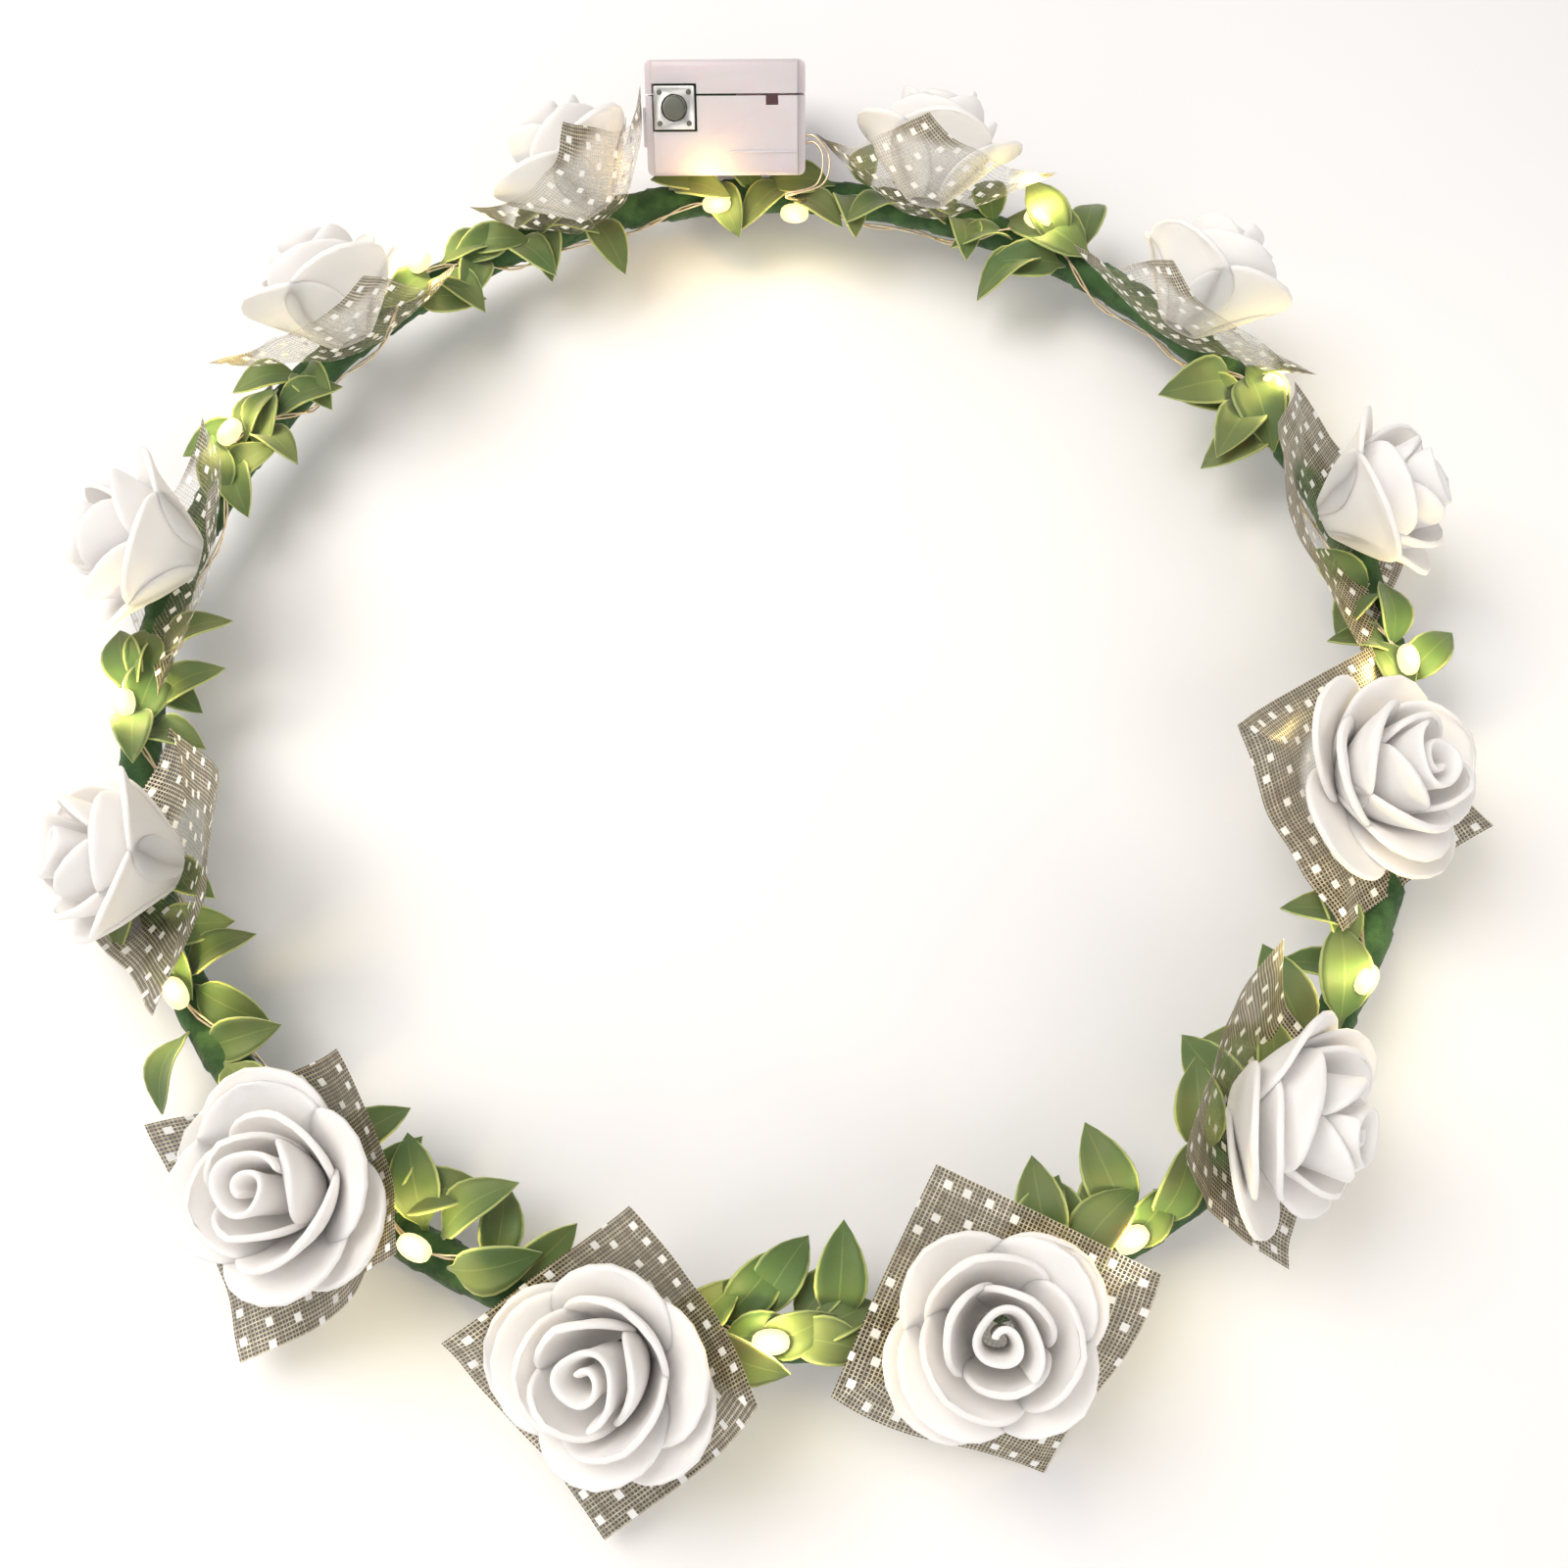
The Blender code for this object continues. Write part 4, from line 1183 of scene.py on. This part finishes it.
# The leaves take these places in the fan in turn, from one edge, -1, to the other, 1.
FAN = (0.0, -1.0, 0.6, -0.4, 1.0)
FAN_JITTER = 14
LOWEST_RISE = -8
HIGHEST_RISE = 28
SHORTEST_SHARE = 0.6
SHORTEST_LEAF = 10.5
LEAF_SHARE = 1.08
LEAF_DISTANCE = 3.0 * MM
LEAF_ROLL = 0.55
LEAF_THICKNESS = 0.25 * MM


def leaves_of(rng, first, last, count, lie, fan, longest):
    """Each leaf of a sprig: station, heading, rise and how much of it shows."""
    for k in range(count):
        heading = lie + fan * FAN[k % len(FAN)] + rng.uniform(-FAN_JITTER, FAN_JITTER)
        yield (
            first + (last - first) * (k + 0.5) / count,
            (heading + 180) % 360 - 180,
            rng.uniform(LOWEST_RISE, HIGHEST_RISE),
            longest * rng.uniform(SHORTEST_SHARE, 1),
        )


def sprig_points(number, sprig):
    rng = random.Random(100 + int(number))
    mesh = bpy.data.meshes.new("sprig")
    feet, turns, lengths = [], [], []
    for station, heading, rise, shows in leaves_of(rng, *sprig):
        length = max(shows * LEAF_SHARE, SHORTEST_LEAF) * rng.uniform(0.97, 1.06)
        axis = pointing(station, heading, rise)
        section = 35 if abs(heading) < 60 else 145 if abs(heading) > 120 else 90
        foot = beside_hoop(station, LEAF_DISTANCE, section) - axis * (length - shows) * MM
        side = Vector((0, 0, 1)).cross(axis).normalized()
        face = axis.cross(side)
        turn = Matrix((axis, side, face)).transposed()
        turn = turn @ Matrix.Rotation(rng.uniform(-LEAF_ROLL, LEAF_ROLL), 3, "X")
        feet.append(foot)
        turns.append(turn.to_euler())
        lengths.append(length * MM)
    mesh.from_pydata(feet, [], [])
    as_turns = mesh.attributes.new("turn", "FLOAT_VECTOR", "POINT")
    as_turns.data.foreach_set("vector", [angle for turn in turns for angle in turn])
    as_lengths = mesh.attributes.new("length", "FLOAT", "POINT")
    as_lengths.data.foreach_set("value", lengths)
    item = bpy.data.objects.new("sprig_points", mesh)
    scene.collection.objects.link(item)
    return item


leaf_count = 0
for number, sprig in SPRIGS.items():
    mesh = grown(sprig_points(number, sprig), leaf_tree, Size=1.0)
    item = add_piece(f"leaf_sprig_{number}", mesh, leaf, [f"sprig_{number}"])
    thicken(item, LEAF_THICKNESS)
    leaf_count += sprig[2]
print("leaves", leaf_count)
bpy.data.objects.remove(one_leaf)

# %% [markdown]
# ## The battery box
# The box is two moulded shells, a base and a snap-on cover, with a push switch that shows
# through a window in both. The frame's own shells have the right size, so each is copied,
# cleaned of its loose triangles, and its edges are rounded, as moulded edges are.

# %% The box's own directions
base_low, base_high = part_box("box_base")
cover_axis = Vector(next(j["axis"] for j in frame["joints"] if j["name"] == "cover_lift"))
BOX_UP = cover_axis.normalized()
BOX_ACROSS = Vector((1, 0, 0))
BOX_FRONT = BOX_ACROSS.cross(BOX_UP)
BOX_WIDTH = base_high.x - base_low.x
BOX_DEPTH = 26.5 * MM
BASE_HEIGHT = 11.1 * MM
COVER_SEAM = 0.3 * MM
COVER_HEIGHT = 4.6 * MM
BOX_HEIGHT = BASE_HEIGHT + COVER_SEAM + COVER_HEIGHT
BOX_FOOT = Vector((base_low.x + BOX_WIDTH / 2, HOOP_RADIUS - 5 * MM, BOX_DEPTH * BOX_FRONT.z))
box_frame = Matrix((BOX_ACROSS, BOX_UP, BOX_FRONT)).transposed().to_4x4()
box_frame.translation = BOX_FOOT


def on_box(x, y, z):
    """World place of a point of the box: across it, up it from the base, out of its front."""
    return box_frame @ (Vector((x, y, z)) * MM)


print("box", round(BOX_WIDTH / MM, 1), "mm wide, faces", [round(x, 2) for x in BOX_FRONT])

# %% Copy and round a shell
EDGE_ROUND = 0.35 * MM
SMALL_ANGLE = math.radians(2)
SHARP_ANGLE = math.radians(40)
MERGE_DISTANCE = 0.002 * MM
OUTER_ROUND = 0.9 * MM
# The box's outer faces: which way each one looks, and how far it is from the box's foot.
SIDE_PLANES = (
    (BOX_ACROSS, BOX_WIDTH / 2), (-BOX_ACROSS, BOX_WIDTH / 2), (BOX_FRONT, 0.0), (-BOX_FRONT, BOX_DEPTH)
)
OUTER_PLANES = (*SIDE_PLANES, (-BOX_UP, 0.0), (BOX_UP, BOX_HEIGHT))
NEAR_PLANE = 0.05 * MM
SHORT_CORNER = 0.35 * MM
WIDE_CORNER = 1.05 * MM


def widen_corners(mesh):
    """Draws the flats on the box's upright edges out to WIDE_CORNER."""
    moved = 0
    for vert in mesh.vertices:
        spot = vert.co - BOX_FOOT
        for way, reach in SIDE_PLANES:
            if abs(reach - spot.dot(way) - SHORT_CORNER) < NEAR_PLANE:
                vert.co -= way * (WIDE_CORNER - SHORT_CORNER)
                moved += 1
    return moved


def mark_outer_edges(mesh):
    """Gives a bevel weight to the edges where two outer faces of the closed box meet."""
    weights = mesh.attributes.new("bevel_weight_edge", "FLOAT", "EDGE")
    for edge in mesh.edges:
        ends = [mesh.vertices[k].co - BOX_FOOT for k in edge.vertices]
        shared = 0
        for way, reach in OUTER_PLANES:
            shared += all(abs(end.dot(way) - reach) < NEAR_PLANE for end in ends)
        weights.data[edge.index].value = 1.0 if shared > 1 else 0.0
    return sum(weight.value > 0 for weight in weights.data)


def rounded_copy(node, name, material, body, width=EDGE_ROUND):
    """A copy of a node of the frame, with its loose triangles merged and its edges rounded."""
    shape = bmesh.new()
    shape.from_mesh(frame["nodes"][node].data)
    bmesh.ops.remove_doubles(shape, verts=shape.verts, dist=MERGE_DISTANCE)
    bmesh.ops.dissolve_limit(
        shape, angle_limit=SMALL_ANGLE, verts=shape.verts, edges=shape.edges, delimit={"NORMAL"}
    )
    item = add_piece(name, mesh_from(name, shape), material, [node], body)
    if material is frosted:
        print(name, widen_corners(item.data), "points moved", mark_outer_edges(item.data), "outer edges")
        corner = item.modifiers.new("moulded corners", "BEVEL")
        corner.width = OUTER_ROUND
        corner.segments = 3
        corner.limit_method = "WEIGHT"
    bevel = item.modifiers.new("moulded edges", "BEVEL")
    bevel.width = width
    bevel.segments = 2
    bevel.limit_method = "ANGLE"
    bevel.angle_limit = SHARP_ANGLE
    bevel.harden_normals = True
    return item


base_shell = rounded_copy("box_base", "base_shell", frosted, "crown")
cover_shell = rounded_copy("box_cover", "cover_shell", frosted, "cover")
button = rounded_copy("switch_button", "push_button", button_rubber, "button", 0.2 * MM)
switch = rounded_copy("switch_body", "switch_case", pressed, "crown", 0.12 * MM)
# The lamp next to the box lights its lower edge, so a small orange light stands between them.
EDGE_LIGHT = on_box(-2.6, -1.2, 2.6)
add_point_lamp("box_glow", EDGE_LIGHT, 0.0022, (1.0, 0.58, 0.16), 1.5 * MM)
print("shells", base_shell.name, cover_shell.name, button.name, switch.name)

# %% [markdown]
# The switch is closed by four small dark rivets at its corners. The same tree could set any
# number of them on a grid: it puts one low dome on each corner of a square.

# %% Rivets by Geometry Nodes
RIVET_RADIUS = 0.42 * MM
rivet_tree, given, way_out = new_node_tree("corner rivets", (("Radius", RIVET_RADIUS),))
dome = place_node(rivet_tree, "GeometryNodeMeshUVSphere", Segments=10, Rings=6, Radius=given["Radius"])
studs = place_node(
    rivet_tree, "GeometryNodeInstanceOnPoints", Points=given["Geometry"], Instance=dome.outputs["Mesh"]
)
end_tree(rivet_tree, studs.outputs[0], button_rubber, way_out)
half_width = BOX_WIDTH / MM / 2
SWITCH_IN = 4.3
SWITCH_DOWN = 6.5
RIVET_OUT = 2.15
RIVET_PROUD = 0.30
switch_x = SWITCH_IN - half_width
switch_y = BOX_HEIGHT / MM - SWITCH_DOWN
rivet_spots = [
    on_box(switch_x + i * RIVET_OUT, switch_y + j * RIVET_OUT, RIVET_PROUD)
    for i in (-1, 1) for j in (-1, 1)
]
corners = bpy.data.meshes.new("rivet_spots")
corners.from_pydata(rivet_spots, [], [])
spots = bpy.data.objects.new("rivet_spots", corners)
scene.collection.objects.link(spots)
rivet_mesh = grown(spots, rivet_tree, Radius=RIVET_RADIUS)
rivets = add_piece("switch_rivets", rivet_mesh, button_rubber)
print(rivets.name, len(rivets.data.polygons), "faces")

# %% A raised line and a side rib on the base


def box_bar(shape, low, high):
    """A block in the box's own directions, in mm."""
    made = bmesh.ops.create_cube(shape, size=1)["verts"]
    low, high = Vector(low), Vector(high)
    for vert in made:
        spot = (low + high) / 2 + Vector([v * d for v, d in zip(vert.co, high - low)])
        vert.co = on_box(*spot)


trim = bmesh.new()
box_bar(trim, (0.5, 3.2, -0.2), (half_width - 1.3, 3.55, 0.18))
box_bar(trim, (-half_width - 0.45, 4.0, -7.0), (-half_width + 0.2, 9.5, -1.5))
trim_mesh = mesh_from("base_trim", trim)
base_trim = add_piece("base_trim", trim_mesh, frosted)
bevel = base_trim.modifiers.new("soft edges", "BEVEL")
bevel.width = 0.12 * MM
bevel.segments = 2
print(base_trim.name)

# %% The box's two leads
# Two thin wires leave the right end of the base and loop down to the first lamp.
first_lamp = beside_hoop(LAMPS[0][0], CORD_DISTANCE, LAMPS[0][1])
LEAD_RADIUS = 0.15 * MM
leads = bmesh.new()
for spread in (0.0, 0.9):
    route = [
        on_box(half_width - 1.0, 4.0 + spread, -2.0),
        on_box(half_width + 1.2, 4.6 + spread, -1.2),
        on_box(half_width + 2.6 + spread, 2.6, 0.0),
        on_box(half_width + 1.6 + spread, -1.2, 1.2),
        on_box(half_width - 3.0, -2.6 - 0.3 * spread, 1.6),
        first_lamp + Vector((2.6, -0.2 + 0.4 * spread, 1.0)) * MM,
        first_lamp,
    ]
    sweep(leads, smooth_path(route, 10), LEAD_RADIUS, WIRE_SIDES)
lead_piece = add_piece("battery_leads", mesh_from("battery_leads", leads), copper)
print(lead_piece.name, len(lead_piece.data.polygons), "faces")

# %% [markdown]
# ## Finishes on the frame's own pieces
# What sits inside the box and the hoop keeps the frame's shape and takes a finish of its own.

# %% Repaint the frame's nodes
INSIDE = {
    "hoop_wire": steel,
    "circuit_board": board_mask,
    "contact_strip": nickel,
    "coin_cell_lower": nickel,
    "coin_cell_upper": nickel,
}
for node, material in INSIDE.items():
    for place in frame["nodes"][node].material_slots:
        place.material = material
print("repainted", list(INSIDE))

# %% Table top
table, tree, socket = new_material("table_top", 0.7)
parts = drifting(tree, (0.93, 0.93, 0.94), (0.90, 0.90, 0.92), 6.0, 900.0)
tree.links.new(parts["Colour"], socket["Base Color"])
FLOOR_HALF = 1.5
floor_corners = [(x * FLOOR_HALF, y * FLOOR_HALF, 0) for x, y in ((-1, -1), (1, -1), (1, 1), (-1, 1))]
floor_mesh = bpy.data.meshes.new("table_top")
floor_mesh.from_pydata(floor_corners, [], [(0, 1, 2, 3)])
floor_mesh.materials.append(table)
floor = bpy.data.objects.new("table_top", floor_mesh)
scene.collection.objects.link(floor)
print("table top", 2 * FLOOR_HALF, "m")
